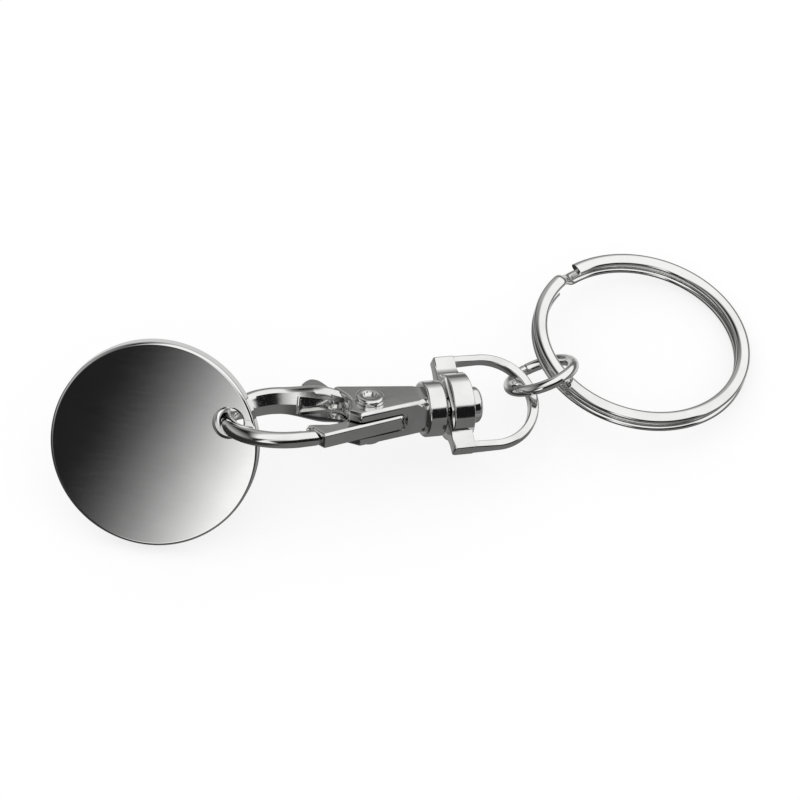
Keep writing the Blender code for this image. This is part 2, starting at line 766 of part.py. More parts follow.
def build_jump_ring(pivot):
    """Jump ring: a round wire closed on itself but for its butt seam."""
    seam = JUMP_SEAM / JUMP_MEAN_RADIUS
    points = []
    for step in range(JUMP_STEPS + 1):
        angle = blend(seam / 2, math.tau - seam / 2, step / JUMP_STEPS) + math.pi / 2
        points.append((0, JUMP_MEAN_RADIUS * math.cos(angle), JUMP_MEAN_RADIUS * math.sin(angle)))
    ring = add_wire("jump_ring", points, JUMP_WIRE_DIAMETER / 2, WIRE_RESOLUTION, PARTS, pivot)
    ring.matrix_basis = jump_place()
    return ring


def jump_place():
    """Return the jump ring's place on its pivot: X through its middle, square to its plane."""
    inside = JUMP_MEAN_RADIUS - JUMP_WIRE_DIAMETER / 2
    reach = inside - EYE_WIRE_HEIGHT / 2 - JUMP_HANG_GAP
    return turn(JUMP_TURN) @ Matrix.Translation((0, reach, 0))


def jump_wire_frame():
    """Return the frame on the jump ring's wire where the key ring hangs."""
    angle = math.radians(SPLIT_SEAT_ANGLE)
    point = Vector((0, JUMP_MEAN_RADIUS * math.cos(angle), JUMP_MEAN_RADIUS * math.sin(angle)))
    tangent = Vector((0, -math.sin(angle), math.cos(angle)))
    return jump_place() @ seat_frame(point, tangent, (1, 0, 0))


def split_profile():
    """Return the section of the key ring's flat wire, with its corners taken off."""
    wide, high, cut = SPLIT_WIRE_WIDTH / 2, SPLIT_WIRE_HEIGHT / 2, SPLIT_WIRE_CHAMFER
    return [
        (wide, -high + cut), (wide, high - cut), (wide - cut, high), (-wide + cut, high),
        (-wide, high - cut), (-wide, -high + cut), (-wide + cut, -high), (wide - cut, -high),
    ]


def split_path():
    """Return the path of the key ring's wire: one coil, a crossover, and the coil beside it."""
    radius = (SPLIT_OUTER_DIAMETER - SPLIT_WIRE_WIDTH) / 2
    rise = (SPLIT_WIRE_HEIGHT + SPLIT_COIL_GAP) / 2
    clear = SPLIT_END_CLEARANCE_ANGLE
    end = 720.0 - SPLIT_CROSSOVER_ANGLE - 2 * clear
    steps = round(end / SPLIT_STEP_ANGLE)
    points = []
    for step in range(steps + 1):
        angle = end * step / steps
        drop = smooth_step((angle - 360.0 + clear + SPLIT_CROSSOVER_ANGLE) / SPLIT_CROSSOVER_ANGLE)
        turned = math.radians(SPLIT_CUT_ANGLE + angle)
        points.append(Vector((
            radius * math.cos(turned), radius * math.sin(turned), rise * (2 * drop - 1),
        )))
    return points


def print_least_gap(points):
    """Print the least gap between the key ring's two coils, measured on the path's points."""
    half_turn = round(180.0 / SPLIT_STEP_ANGLE)
    gaps = []
    for place, point in enumerate(points):
        for other in points[place + half_turn:]:
            height = max(abs(point.z - other.z) - SPLIT_WIRE_HEIGHT, 0)
            gaps.append(math.hypot((point.xy - other.xy).length, height))
    print("key ring, least gap between its coils, m:", round(min(gaps), 6))


def build_split_ring(pivot):
    """Key ring: a flat wire wound twice round, swept with its section kept upright."""
    points = split_path()
    print_least_gap(points)
    ring = add_swept("split_ring", points, [1.0] * len(points), split_profile(), PARTS, pivot)
    inside = SPLIT_OUTER_DIAMETER / 2 - SPLIT_WIRE_WIDTH
    reach = inside - JUMP_WIRE_DIAMETER / 2 - SPLIT_HANG_GAP
    upright = Matrix.Rotation(math.pi / 2, 4, "Y")
    ring.matrix_basis = turn(SPLIT_TURN) @ Matrix.Translation((0, reach, 0)) @ upright
    return ring


def dress(made):
    """Give a node its own metal."""
    colour, roughness = FINISHES[made.name]
    material = bpy.data.materials.new(made.name + "_metal")
    material.use_nodes = True
    shader = material.node_tree.nodes["Principled BSDF"]
    shader.inputs["Base Color"].default_value = (*colour, 1.0)
    shader.inputs["Metallic"].default_value = 1.0
    shader.inputs["Roughness"].default_value = roughness
    made.data.materials.append(material)


def set_down(root, pieces):
    """Move the whole part so that the middle of its box stands over the origin, on the ground."""
    bpy.context.view_layer.update()
    graph = bpy.context.evaluated_depsgraph_get()
    corners = []
    for piece in pieces:
        seen = piece.evaluated_get(graph)
        mesh = seen.to_mesh()
        corners += [seen.matrix_world @ vertex.co for vertex in mesh.vertices]
        seen.to_mesh_clear()
    low = [min(corner[axis] for corner in corners) for axis in range(3)]
    high = [max(corner[axis] for corner in corners) for axis in range(3)]
    root.location -= Vector(((low[0] + high[0]) / 2, (low[1] + high[1]) / 2, low[2]))
    bpy.context.view_layer.update()


def build():
    """Build the keyring and set it on the ground."""
    clasp = new_pivot("clasp_frame", None, turn(CLASP_TURN))
    lever_axis = Matrix.Translation((-PIVOT_X, -PIVOT_Y, 0)) @ Matrix.Rotation(math.pi / 2, 4, "Y")
    lever_pivot = new_pivot("lever_pivot", clasp, lever_axis)
    eye_pivot = new_pivot("eye_pivot", clasp, turn((EYE_TURN, 0, 0)))
    token_seat = seat_frame(*hook_point(TOKEN_SEAT_ANGLE), (0, 0, 1))
    token_pivot = new_pivot("token_pivot", clasp, token_seat @ turn(TOKEN_AXIS_TURN))
    jump_pivot = new_pivot("jump_pivot", eye_pivot,
                           seat_frame(*eye_arc_point(JUMP_SEAT_ANGLE), (0, 0, 1)))
    split_pivot = new_pivot("split_pivot", jump_pivot, jump_wire_frame() @ turn(SPLIT_AXIS_TURN))
    pieces = [
        build_clasp_body(clasp),
        build_lever(lever_pivot),
        build_lever_rivet(clasp),
        build_lever_spring(clasp),
        build_swivel_rivet(clasp),
        build_swivel_eye(eye_pivot),
        build_token(token_pivot),
        build_jump_ring(jump_pivot),
        build_split_ring(split_pivot),
    ]
    for piece in pieces:
        dress(piece)
    set_down(clasp, pieces)


clear_scene()
PARTS = new_collection("coin_holder_keyring")
TOOLS = new_collection("cutters")
build()
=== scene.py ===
"""Coin holder keyring, dressed for its portrait.

A polished trolley token hangs on a swivel snap hook, which a jump ring joins to a split key
ring. Every piece is modelled here in millimetres in its own frame, as it would lie on a drawing,
and is then placed on the body that carries it.
"""
import json
import logging
import math
from dataclasses import dataclass, field
from enum import Enum
from typing import Callable, Iterable, Sequence

import bmesh
import bpy
from bmesh.types import BMEdge, BMesh, BMVert
from mathutils import Euler, Matrix, Vector


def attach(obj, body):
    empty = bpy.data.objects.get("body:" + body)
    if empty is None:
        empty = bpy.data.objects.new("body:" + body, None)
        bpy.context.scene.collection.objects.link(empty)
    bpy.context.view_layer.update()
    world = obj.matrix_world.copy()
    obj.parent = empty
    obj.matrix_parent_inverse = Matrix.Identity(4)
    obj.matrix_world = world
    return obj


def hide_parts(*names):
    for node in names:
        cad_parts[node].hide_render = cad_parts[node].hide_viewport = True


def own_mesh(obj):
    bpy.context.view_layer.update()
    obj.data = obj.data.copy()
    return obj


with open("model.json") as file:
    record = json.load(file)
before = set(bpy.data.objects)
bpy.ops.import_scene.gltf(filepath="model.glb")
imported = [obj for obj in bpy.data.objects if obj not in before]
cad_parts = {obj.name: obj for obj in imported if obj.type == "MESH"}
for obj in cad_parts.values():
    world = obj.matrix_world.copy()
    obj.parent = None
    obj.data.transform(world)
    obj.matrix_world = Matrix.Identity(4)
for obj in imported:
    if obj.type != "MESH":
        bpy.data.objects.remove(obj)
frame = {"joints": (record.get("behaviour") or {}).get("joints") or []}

LOG = logging.getLogger("keyring")
MILLIMETRE = 0.001

# Tolerances: in millimetres, and in degrees for half a corner that is as good as straight
TOUCH = 0.001
WELD = 0.002
POLE_WELD = 0.0001
STRAIGHT = 89.5

# How many faces bores and shanks, and rounded edges, are made of
ROD_STEPS = 48
EDGE_STEPS = 5

Pair = tuple[float, float]
Triple = tuple[float, float, float]
Colour = Triple
Angles = Triple


class Body(Enum):
    """The rigid bodies of the keyring."""

    CLASP = "clasp"
    LEVER = "lever"
    EYE = "eye"
    TOKEN = "token"
    JUMP_RING = "jump_ring"
    KEY_RING = "key_ring"


class Slot(Enum):
    """The material slots of the record."""

    TOKEN = "token_plate"
    CASTING = "cast_nickel"
    LEVER = "lever_nickel"
    RIVET = "rivet_nickel"
    SPRING = "spring_steel"
    WIRE = "wire_nickel"
    KEY_RING = "key_ring_nickel"


# Placing


def turn(angles: Angles) -> Matrix:
    """Turn about X, then Y, then Z.

    Args:
        angles: The three angles in degrees.

    Returns:
        The rotation as a 4 by 4 matrix.
    """
    return Euler([math.radians(angle) for angle in angles], "XYZ").to_matrix().to_4x4()


def blend(first: float, last: float, share: float) -> float:
    """Mix two values.

    Args:
        first: The value at share 0.
        last: The value at share 1.
        share: How far to go.

    Returns:
        The value between them.
    """
    return first + (last - first) * share


def smooth_step(share: float) -> float:
    """Ease from 0 to 1.

    Args:
        share: How far along, clamped to 0 and 1.

    Returns:
        The eased share.
    """
    share = min(max(share, 0.0), 1.0)
    return share * share * (3 - 2 * share)


def quarter_turn(steps: int) -> list[Pair]:
    """Step through a quarter turn.

    Args:
        steps: How many steps it takes.

    Returns:
        The cosine and sine of each angle from 0 to 90 degrees.
    """
    angles = [math.radians(90 * step / steps) for step in range(steps + 1)]
    return [(math.cos(angle), math.sin(angle)) for angle in angles]


def seat_frame(point: Vector, tangent: Vector, normal: Vector) -> Matrix:
    """Stand a frame on a wire.

    Args:
        point: The middle of the wire, in millimetres.
        tangent: The wire's direction there.
        normal: The direction across the plane that the wire lies in.

    Returns:
        A matrix with X along the wire and Z near the normal.
    """
    along = tangent.normalized()
    side = normal.cross(along).normalized()
    seat = Matrix((along, side, along.cross(side))).transposed().to_4x4()
    seat.translation = point
    return seat


def joint_place(name: str) -> Vector:
    """Find a joint.

    Args:
        name: The joint's name in the record.

    Returns:
        Its position in metres.
    """
    for joint in frame["joints"]:
        if joint["name"] == name:
            return Vector(joint["pos_m"])
    raise ValueError(f"no joint named {name}")


# Modelling


def strung(points: Sequence[Vector], closed: bool = True) -> tuple[BMesh, list[BMEdge]]:
    """Start a mesh as one line of edges.

    Args:
        points: Where the line goes.
        closed: Whether it comes back to its start.

    Returns:
        The new mesh and its edges.
    """
    bm = bmesh.new()
    verts = [bm.verts.new(point) for point in points]
    pairs = list(zip(verts, verts[1:]))
    if closed:
        pairs.append((verts[-1], verts[0]))
    return bm, [bm.edges.new(pair) for pair in pairs]


def swept(stations: Sequence[Sequence[Vector]]) -> BMesh:
    """Extrude a section from station to station.

    Args:
        stations: The section's points at each station, in the same order everywhere.

    Returns:
        A closed solid.
    """
    bm, loop = strung(stations[0])
    first = list(loop)
    ring = [edge.verts[0] for edge in loop]
    for station in stations[1:]:
        grown = bmesh.ops.extrude_edge_only(bm, edges=loop)["geom"]
        fresh = {vert for vert in grown if isinstance(vert, BMVert)}
        ring = [next(e.other_vert(vert) for e in vert.link_edges if e.other_vert(vert) in fresh)
                for vert in ring]
        for vert, point in zip(ring, station):
            vert.co = point
        loop = [bm.edges.get(pair) for pair in zip(ring, ring[1:] + ring[:1])]
    for rim in (first, loop):
        bmesh.ops.edgeloop_fill(bm, edges=rim)
    bmesh.ops.recalc_face_normals(bm, faces=bm.faces)
    return bm


def wire_section(middle: Vector, out: Vector, radius: float, sides: int) -> list[Vector]:
    """Draw a round wire's section on X and one other direction.

    Args:
        middle: The middle of the wire.
        out: The other direction.
        radius: The wire's radius.
        sides: How many points there are.

    Returns:
        The section's points.
    """
    section = []
    for side in range(sides):
        spoke = math.tau * side / sides
        section.append(middle + radius * (out * math.cos(spoke) + Vector((math.sin(spoke), 0, 0))))
    return section


def turned(profile: Sequence[Pair], steps: int) -> BMesh:
    """Spin a profile about X.

    Args:
        profile: Pairs of place along X and radius, from pole to pole or closed on itself.
        steps: How many faces there are round the axis.

    Returns:
        A closed solid.
    """
    closed = profile[0][1] > 0
    bm, edges = strung([Vector((along, radius, 0)) for along, radius in profile], closed)
    bmesh.ops.spin(
        bm, geom=list(bm.verts) + edges, cent=(0, 0, 0), axis=(1, 0, 0), dvec=(0, 0, 0),
        angle=math.tau, steps=steps, use_merge=True,
    )
    bmesh.ops.remove_doubles(bm, verts=bm.verts, dist=POLE_WELD)
    bmesh.ops.recalc_face_normals(bm, faces=bm.faces)
    return bm


def rod(radius: float, low: float, high: float) -> BMesh:
    """Make a plain rod along X.

    Args:
        radius: Its radius.
        low: Where it starts.
        high: Where it ends.

    Returns:
        The rod.
    """
    return turned([(low, 0.0), (low, radius), (high, radius), (high, 0.0)], ROD_STEPS)


def drum(radius: float, low: float, high: float, edge: float, steps: int) -> BMesh:
    """Make a drum along X with rounded edges.

    Args:
        radius: Its radius.
        low: Where it starts.
        high: Where it ends.
        edge: The rounding of its edges.
        steps: How many faces there are round the axis.

    Returns:
        The drum.
    """
    waist = radius - edge
    corner = quarter_turn(EDGE_STEPS)
    profile = [(low, 0.0), (low, waist)]
    profile += [(low + edge - edge * across, waist + edge * up) for across, up in corner[1:]]
    profile += [(high - edge + edge * up, waist + edge * across) for across, up in corner]
    return turned(profile + [(high, 0.0)], steps)


def filleted(corners: Sequence[Triple], steps: int = EDGE_STEPS) -> list[Pair]:
    """Round the corners of a closed outline.

    Args:
        corners: Each corner's X and Y, and the radius of its fillet.
        steps: How many edges each fillet has.

    Returns:
        The outline's points.
    """
    outline: list[Pair] = []
    for place, (x, y, radius) in enumerate(corners):
        here = Vector((x, y))
        before = (Vector(corners[place - 1][:2]) - here).normalized()
        after = (Vector(corners[(place + 1) % len(corners)][:2]) - here).normalized()
        half = before.angle(after) / 2
        if radius <= 0 or half > math.radians(STRAIGHT):
            outline.append((x, y))
            continue
        reach = radius / math.tan(half)
        middle = here + (before + after).normalized() * radius / math.sin(half)
        start = here + before * reach - middle
        sweep = start.angle_signed(here + after * reach - middle)
        for step in range(steps + 1):
            angle = -sweep * step / steps
            spoke = Matrix.Rotation(angle, 2) @ start
            outline.append((middle.x + spoke.x, middle.y + spoke.y))
    return outline


def plate(outline: Sequence[Pair], low: float, high: float) -> BMesh:
    """Raise a flat outline into a plate.

    Args:
        outline: The outline's points.
        low: The height of its underside.
        high: The height of its top.

    Returns:
        A closed solid with sharp edges.
    """
    bm, edges = strung([Vector((x, y, low)) for x, y in outline])
    face = bmesh.ops.contextual_create(bm, geom=edges)["faces"]
    raised = bmesh.ops.extrude_face_region(bm, geom=face)["geom"]
    top = [item for item in raised if isinstance(item, BMVert)]
    bmesh.ops.translate(bm, verts=top, vec=(0, 0, high - low))
    bmesh.ops.recalc_face_normals(bm, faces=bm.faces)
    return bm


def rounded_edges(bm: BMesh, width: float, segments: int, chosen: Callable[[BMEdge], bool]) -> None:
    """Round some of a solid's edges.

    Args:
        bm: The solid.
        width: How far the rounding reaches from the edge.
        segments: How many faces the rounding has.
        chosen: Which edges are rounded.
    """
    edges = [edge for edge in bm.edges if chosen(edge)]
    bmesh.ops.bevel(
        bm, geom=edges, offset=width, offset_type="OFFSET", affect="EDGES", segments=segments,
        profile=0.5, material=-1, clamp_overlap=False,
    )
    bmesh.ops.recalc_face_normals(bm, faces=bm.faces)


def level_edge(*levels: float) -> Callable[[BMEdge], bool]:
    """Choose the edges that lie flat at one of some heights.

    Args:
        levels: The heights.

    Returns:
        The test that an edge has to pass.
    """
    def test(edge: BMEdge) -> bool:
        """Say whether an edge lies at one of the heights."""
        return any(all(abs(vert.co.z - level) < TOUCH for vert in edge.verts) for level in levels)
    return test


def sharp_edge(least: float) -> Callable[[BMEdge], bool]:
    """Choose the edges that are sharper than an angle.

    Args:
        least: The angle in degrees.

    Returns:
        The test that an edge has to pass.
    """
    def test(edge: BMEdge) -> bool:
        """Say whether an edge is sharp enough."""
        return len(edge.link_faces) == 2 and edge.calc_face_angle(0.0) > math.radians(least)
    return test


def block(low: Triple, high: Triple) -> BMesh:
    """Make a box between two corners.

    Args:
        low: The lowest corner.
        high: The highest corner.

    Returns:
        The box.
    """
    bm = bmesh.new()
    bmesh.ops.create_cube(bm, size=1.0)
    bmesh.ops.scale(bm, vec=[top - bottom for bottom, top in zip(low, high)], verts=bm.verts)
    middle = [(top + bottom) / 2 for bottom, top in zip(low, high)]
    bmesh.ops.translate(bm, vec=middle, verts=bm.verts)
    return bm


def put_in_order(bm: BMesh) -> None:
    """Number a mesh's points, edges and faces by their places, because some operators shuffle them.

    Args:
        bm: The mesh.
    """
    keys = (
        (bm.verts, lambda vert: tuple(vert.co)),
        (bm.edges, lambda edge: sorted(vert.index for vert in edge.verts)),
        (bm.faces, lambda face: sorted(vert.index for vert in face.verts)),
    )
    for items, key in keys:
        for rank, item in enumerate(sorted(items, key=key)):
            item.index = rank
        items.sort()


def as_mesh(bm: BMesh, name: str) -> bpy.types.Mesh:
    """Turn a bmesh into a mesh.

    Args:
        bm: The bmesh, which is freed.
        name: The mesh's name.

    Returns:
        The mesh.
    """
    put_in_order(bm)
    mesh = bpy.data.meshes.new(name)
    bm.to_mesh(mesh)
    bm.free()
    return mesh


def combined(base: BMesh, joined: Iterable[BMesh] = (), cut: Iterable[BMesh] = ()) -> BMesh:
    """Join solids to a solid and cut others out of it.

    Args:
        base: The solid to start from.
        joined: The solids that become one with it.
        cut: The solids that are taken away, after the others are joined.

    Returns:
        The finished solid.
    """
    whole = bpy.data.objects.new("whole", as_mesh(base, "whole"))
    bpy.context.scene.collection.objects.link(whole)
    tools = []
    for operation, solids in (("UNION", joined), ("DIFFERENCE", cut)):
        for solid in solids:
            tool = bpy.data.objects.new("tool", as_mesh(solid, "tool"))
            bpy.context.scene.collection.objects.link(tool)
            boolean = whole.modifiers.new(operation.title(), "BOOLEAN")
            boolean.operation = operation
            boolean.solver = "EXACT"
            boolean.object = tool
            tools.append(tool)
    bpy.context.view_layer.update()
    seen = whole.evaluated_get(bpy.context.evaluated_depsgraph_get())
    bm = bmesh.new()
    bm.from_mesh(seen.to_mesh())
    seen.to_mesh_clear()
    for tool in tools + [whole]:
        mesh = tool.data
        bpy.data.objects.remove(tool, do_unlink=True)
        bpy.data.meshes.remove(mesh)
    bmesh.ops.remove_doubles(bm, verts=bm.verts, dist=WELD)
    bmesh.ops.dissolve_degenerate(bm, edges=bm.edges, dist=WELD)
    return bm


# Finishes


def noise(
    tree: bpy.types.NodeTree, place: bpy.types.NodeSocket, scale: float, detail: float,
) -> bpy.types.NodeSocket:
    """Add a noise pattern to a material.

    Args:
        tree: The material's node tree.
        place: The coordinates that it reads.
        scale: How fine it is.
        detail: How many finer layers it has.

    Returns:
        The pattern's value.
    """
    pattern = tree.nodes.new("ShaderNodeTexNoise")
    pattern.inputs["Scale"].default_value = scale
    pattern.inputs["Detail"].default_value = detail
    tree.links.new(place, pattern.inputs["Vector"])
    return pattern.outputs["Fac"]


def relief(tree: bpy.types.NodeTree, height: bpy.types.NodeSocket, depth: float) -> bpy.types.Node:
    """Add a fine relief to a material.

    Args:
        tree: The material's node tree.
        height: The pattern that raises it.
        depth: How deep it is, in metres.

    Returns:
        The bump node.
    """
    bump = tree.nodes.new("ShaderNodeBump")
    bump.inputs["Distance"].default_value = depth
    tree.links.new(height, bump.inputs["Height"])
    return bump


@dataclass(frozen=True)
class PlatedFinish:
    """A bright plated metal with faint polishing marks and tarnish.

    Args:
        name: The material's name.
        bright: The metal's colour where it is clean.
        dull: Its colour where handling has dulled it.
        roughness: The least and greatest roughness.
        cloud_scale: How fine the dull clouds are, per metre.
        cloud_span: The values of the clouds at which the metal is dull and clean.
        mark_scale: How fine the polishing marks are, per metre, along three axes.
        mark_span: The values of the marks at which the metal is smoothest and roughest.
        mark_depth: The depth of the marks in metres.
        ripple_scale: How fine the casting's ripple is, per metre.
        ripple_depth: The depth of the ripple in metres.
    """

    name: str
    bright: Colour
    dull: Colour
    roughness: Pair
    cloud_scale: float = 260.0
    cloud_span: Pair = (0.36, 0.58)
    mark_scale: Triple = (900.0, 9000.0, 900.0)
    mark_span: Pair = (0.3, 0.7)
    mark_depth: float = 0.0000004
    ripple_scale: float = 700.0
    ripple_depth: float = 0.000002

    def material(self) -> bpy.types.Material:
        """Build the finish as a node material.

        Returns:
            The material.
        """
        made = bpy.data.materials.new(self.name)
        made.use_nodes = True
        tree = made.node_tree
        nodes, links = tree.nodes, tree.links
        shader = nodes["Principled BSDF"]
        shader.inputs["Metallic"].default_value = 1.0
        place = nodes.new("ShaderNodeTexCoord").outputs["Object"]
        tint = nodes.new("ShaderNodeValToRGB")
        stops = zip(tint.color_ramp.elements, self.cloud_span, (self.dull, self.bright))
        for stop, value, colour in stops:
            stop.position = value
            stop.color = (*colour, 1.0)
        links.new(noise(tree, place, self.cloud_scale, 4.0), tint.inputs["Fac"])
        links.new(tint.outputs["Color"], shader.inputs["Base Color"])
        stretch = nodes.new("ShaderNodeMapping")
        stretch.inputs["Scale"].default_value = self.mark_scale
        links.new(place, stretch.inputs["Vector"])
        marks = noise(tree, stretch.outputs["Vector"], 1.0, 3.0)
        gloss = nodes.new("ShaderNodeMapRange")
        for side, span in (("From", self.mark_span), ("To", self.roughness)):
            for end, value in zip(("Min", "Max"), span):
                gloss.inputs[f"{side} {end}"].default_value = value
        links.new(marks, gloss.inputs["Value"])
        links.new(gloss.outputs["Result"], shader.inputs["Roughness"])
        ripple = relief(tree, noise(tree, place, self.ripple_scale, 2.0), self.ripple_depth)
        scratch = relief(tree, marks, self.mark_depth)
        links.new(ripple.outputs["Normal"], scratch.inputs["Normal"])
        links.new(scratch.outputs["Normal"], shader.inputs["Normal"])
        return made


MIRROR = PlatedFinish(
    "token_mirror_plate", (0.93, 0.93, 0.925), (0.90, 0.90, 0.895), (0.035, 0.06),
    mark_scale=(400.0, 400.0, 5000.0), mark_depth=0.0000001,
    ripple_scale=60.0, ripple_depth=0.0000006,
)
CASTING = PlatedFinish(
    "nickel_plated_casting", (0.90, 0.90, 0.89), (0.80, 0.80, 0.79), (0.07, 0.13),
    ripple_scale=900.0, ripple_depth=0.0000035,
)
LEVER_PLATE = PlatedFinish(
    "nickel_plated_lever", (0.90, 0.90, 0.89), (0.82, 0.82, 0.81), (0.07, 0.12),
    ripple_depth=0.0000015,
)
RIVET_PLATE = PlatedFinish(
    "nickel_plated_rivet", (0.92, 0.92, 0.91), (0.84, 0.84, 0.83), (0.05, 0.10),
    ripple_depth=0.000001,
)
SPRING_STEEL = PlatedFinish(
    "drawn_spring_steel", (0.66, 0.66, 0.64), (0.52, 0.52, 0.50), (0.22, 0.36),
)
BRIGHT_WIRE = PlatedFinish(
    "nickel_plated_wire", (0.92, 0.92, 0.91), (0.84, 0.84, 0.83), (0.05, 0.09),
    ripple_depth=0.0000008,
)
FLAT_WIRE = PlatedFinish(
    "nickel_plated_flat_wire", (0.93, 0.93, 0.92), (0.86, 0.86, 0.85), (0.05, 0.09),
    ripple_depth=0.0000006,
)


def finished(
    bm: BMesh, name: str, place: Matrix, body: Body, finish: PlatedFinish,
    replaces: str, crease: float = 32.0,
) -> bpy.types.Object:
    """Place a modelled piece on its body, shade it and give it its finish.

    Args:
        bm: The piece in millimetres, in its own frame.
        name: The piece's name.
        place: Its place, in millimetres from the world's origin.
        body: The body that it rides on.
        finish: The finish itself.
        replaces: The solid that it stands for.
        crease: The angle in degrees past which an edge stays crisp.

    Returns:
        The finished piece.
    """
    bmesh.ops.transform(bm, matrix=Matrix.Scale(MILLIMETRE, 4) @ place, verts=bm.verts)
    bmesh.ops.recalc_face_normals(bm, faces=bm.faces)
    mesh = as_mesh(bm, name)
    mesh.shade_smooth()
    mesh.set_sharp_from_angle(angle=math.radians(crease))
    piece = bpy.data.objects.new(name, mesh)
    bpy.context.scene.collection.objects.link(piece)
    mesh.materials.append(finish.material())
    weights = piece.modifiers.new("Weights", "WEIGHTED_NORMAL")
    weights.keep_sharp = True
    weights.weight = 80
    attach(piece, body.value)
    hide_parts(replaces)
    LOG.info("%s: %d faces on %s", name, len(mesh.polygons), body.value)
    return piece


# Sub-assemblies


@dataclass
class Hook:
    """The hook's centreline and sections, in the clasp's plane.

    Args:
        centre: The middle of the oval.
        bend: The oval's half length.
        rise: Its half height on the spine's side.
        drop: Its half height on the tip's side.
        root: Where the spine starts, inside the body.
        pull: The point that bends the spine's run.
        spine: The half thickness and half height of the spine.
        root_half: The half thickness and half height where the spine leaves the plates.
        sink: How much of the spine's run lies under the plates' faces.
        wire: The radius of the bend.
        tip: The radius of the end.
        end_step: How far back the end's rim starts, and how much it takes off the radius.
        arc: Where the oval's run starts and ends, in degrees.
        taper: Where on it the spine starts to thin, and where it is plain wire, in degrees.
        facets: Each corner of the inner flats: its angle, and its place out and up as shares.
        growth: The spine's growth towards its root's size at the start, and its fall on the run.
        tuck: The share of its height that it starts with, under the plates' faces.
        sides: How many points a section has.
        arc_steps: How many sections the oval takes.
        root_steps: How many sections the spine's run takes.
    """

    centre: Pair = (-17.75, 0.6)
    bend: float = 6.8
    rise: float = 4.1
    drop: float = 4.6
    root: Pair = (-9.8, 1.4)
    pull: Pair = (-15.95, 4.96)
    spine: Pair = (1.2, 1.6)
    root_half: Pair = (1.2, 2.25)
    sink: float = 0.3
    wire: float = 0.92
    tip: float = 0.85
    end_step: Pair = (0.1, 0.09)
    arc: Pair = (100.0, 270.0)
    taper: Pair = (108.0, 160.0)
    facets: tuple[Triple, ...] = (
        (112.5, -0.52, 0.84),
        (157.5, -1.0, 0.12),
        (225.0, -0.78, -0.72),
    )
    growth: Pair = (1.35, 1.8)
    tuck: float = 0.8
    sides: int = 32
    arc_steps: int = 60
    root_steps: int = 24

    def point(self, angle: float) -> tuple[Vector, Vector]:
        """Follow the oval.

        Args:
            angle: The angle round it, in degrees.

        Returns:
            The point and the direction of travel.
        """
        turned_to = math.radians(angle)
        rise = self.rise if angle < 180 else self.drop
        point = Vector((
            self.centre[0] + self.bend * math.cos(turned_to),
            self.centre[1] + rise * math.sin(turned_to), 0,
        ))
        travel = Vector((-self.bend * math.sin(turned_to), rise * math.cos(turned_to), 0))
        return point, travel.normalized()

    def root_point(self, share: float) -> tuple[Vector, Vector]:
        """Follow the spine's run from inside the body to the oval.

        Args:
            share: How far along the run.

        Returns:
            The point and the direction of travel.
        """
        start, pull = Vector((*self.root, 0)), Vector((*self.pull, 0))
        end = self.point(self.arc[0])[0]
        point = start * (1 - share) ** 2 + pull * 2 * share * (1 - share) + end * share ** 2
        travel = (pull - start) * (1 - share) + (end - pull) * share
        return point, travel.normalized()

    def section(self, thickness: float, height: float, facet: float) -> list[Pair]:
        """Draw a section, round outside and with two flats inside.

        Args:
            thickness: Half its thickness, away from the loop.
            height: Half its height.
            facet: From 0, round, to 1, fully faceted.

        Returns:
            Its points, as places out of the loop and up.
        """
        offsets = []
        corners = self.facets
        for place in range(self.sides):
            angle = math.tau * place / self.sides
            out, up = math.cos(angle), math.sin(angle)
            for first, last in zip(corners, corners[1:]):
                if first[0] <= math.degrees(angle) <= last[0]:
                    share = (math.degrees(angle) - first[0]) / (last[0] - first[0])
                    out = blend(out, blend(first[1], last[1], share), facet)
                    up = blend(up, blend(first[2], last[2], share), facet)
                    break
            offsets.append((thickness * out, height * up))
        return offsets

    def station(
        self, spot: tuple[Vector, Vector], offsets: Sequence[Pair], slant: float = 0.0,
    ) -> list[Vector]:
        """Stand a section on the centreline.

        Args:
            spot: The point and the direction of travel.
            offsets: The section's points.
            slant: How far the section leans over, in radians.

        Returns:
            The section's points in the clasp's frame.
        """
        point, travel = spot
        away = Vector((travel.y, -travel.x, 0))
        return [
            point + away * out + Vector((0, 0, up)) + travel * out * math.tan(slant)
            for out, up in offsets
        ]

    def solid(self, tip: Vector, slant: float) -> BMesh:
        """Build the spine, the bend and the tip.

        Args:
            tip: The middle of the end face.
            slant: How far the end face leans, in radians.

        Returns:
            The hook as one solid.
        """
        rings = []
        for step in range(self.root_steps):
            share = step / self.root_steps
            grown = smooth_step(self.growth[0] - share * self.growth[1])
            thickness = blend(self.spine[0], self.root_half[0], grown)
            height = blend(self.spine[1], self.root_half[1], grown)
            height *= blend(self.tuck, 1.0, smooth_step(share / self.sink))
            rings.append(self.station(self.root_point(share), self.section(thickness, height, 1.0)))
        for step in range(self.arc_steps + 1):
            angle = blend(*self.arc, step / self.arc_steps)
            taper = smooth_step((angle - self.taper[0]) / (self.taper[1] - self.taper[0]))
            thickness = blend(self.spine[0], self.wire, taper)
            height = blend(self.spine[1], self.wire, taper)
            section = self.section(thickness, height, 1 - taper)
            rings.append(self.station(self.point(angle), section))
        onward = Vector((1, 0, 0))
        back, shrink = self.end_step
        for middle, radius in ((tip - onward * back, self.tip), (tip, self.tip - shrink)):
            rings.append(self.station((middle, onward), self.section(radius, radius, 0.0), slant))
        return swept(rings)


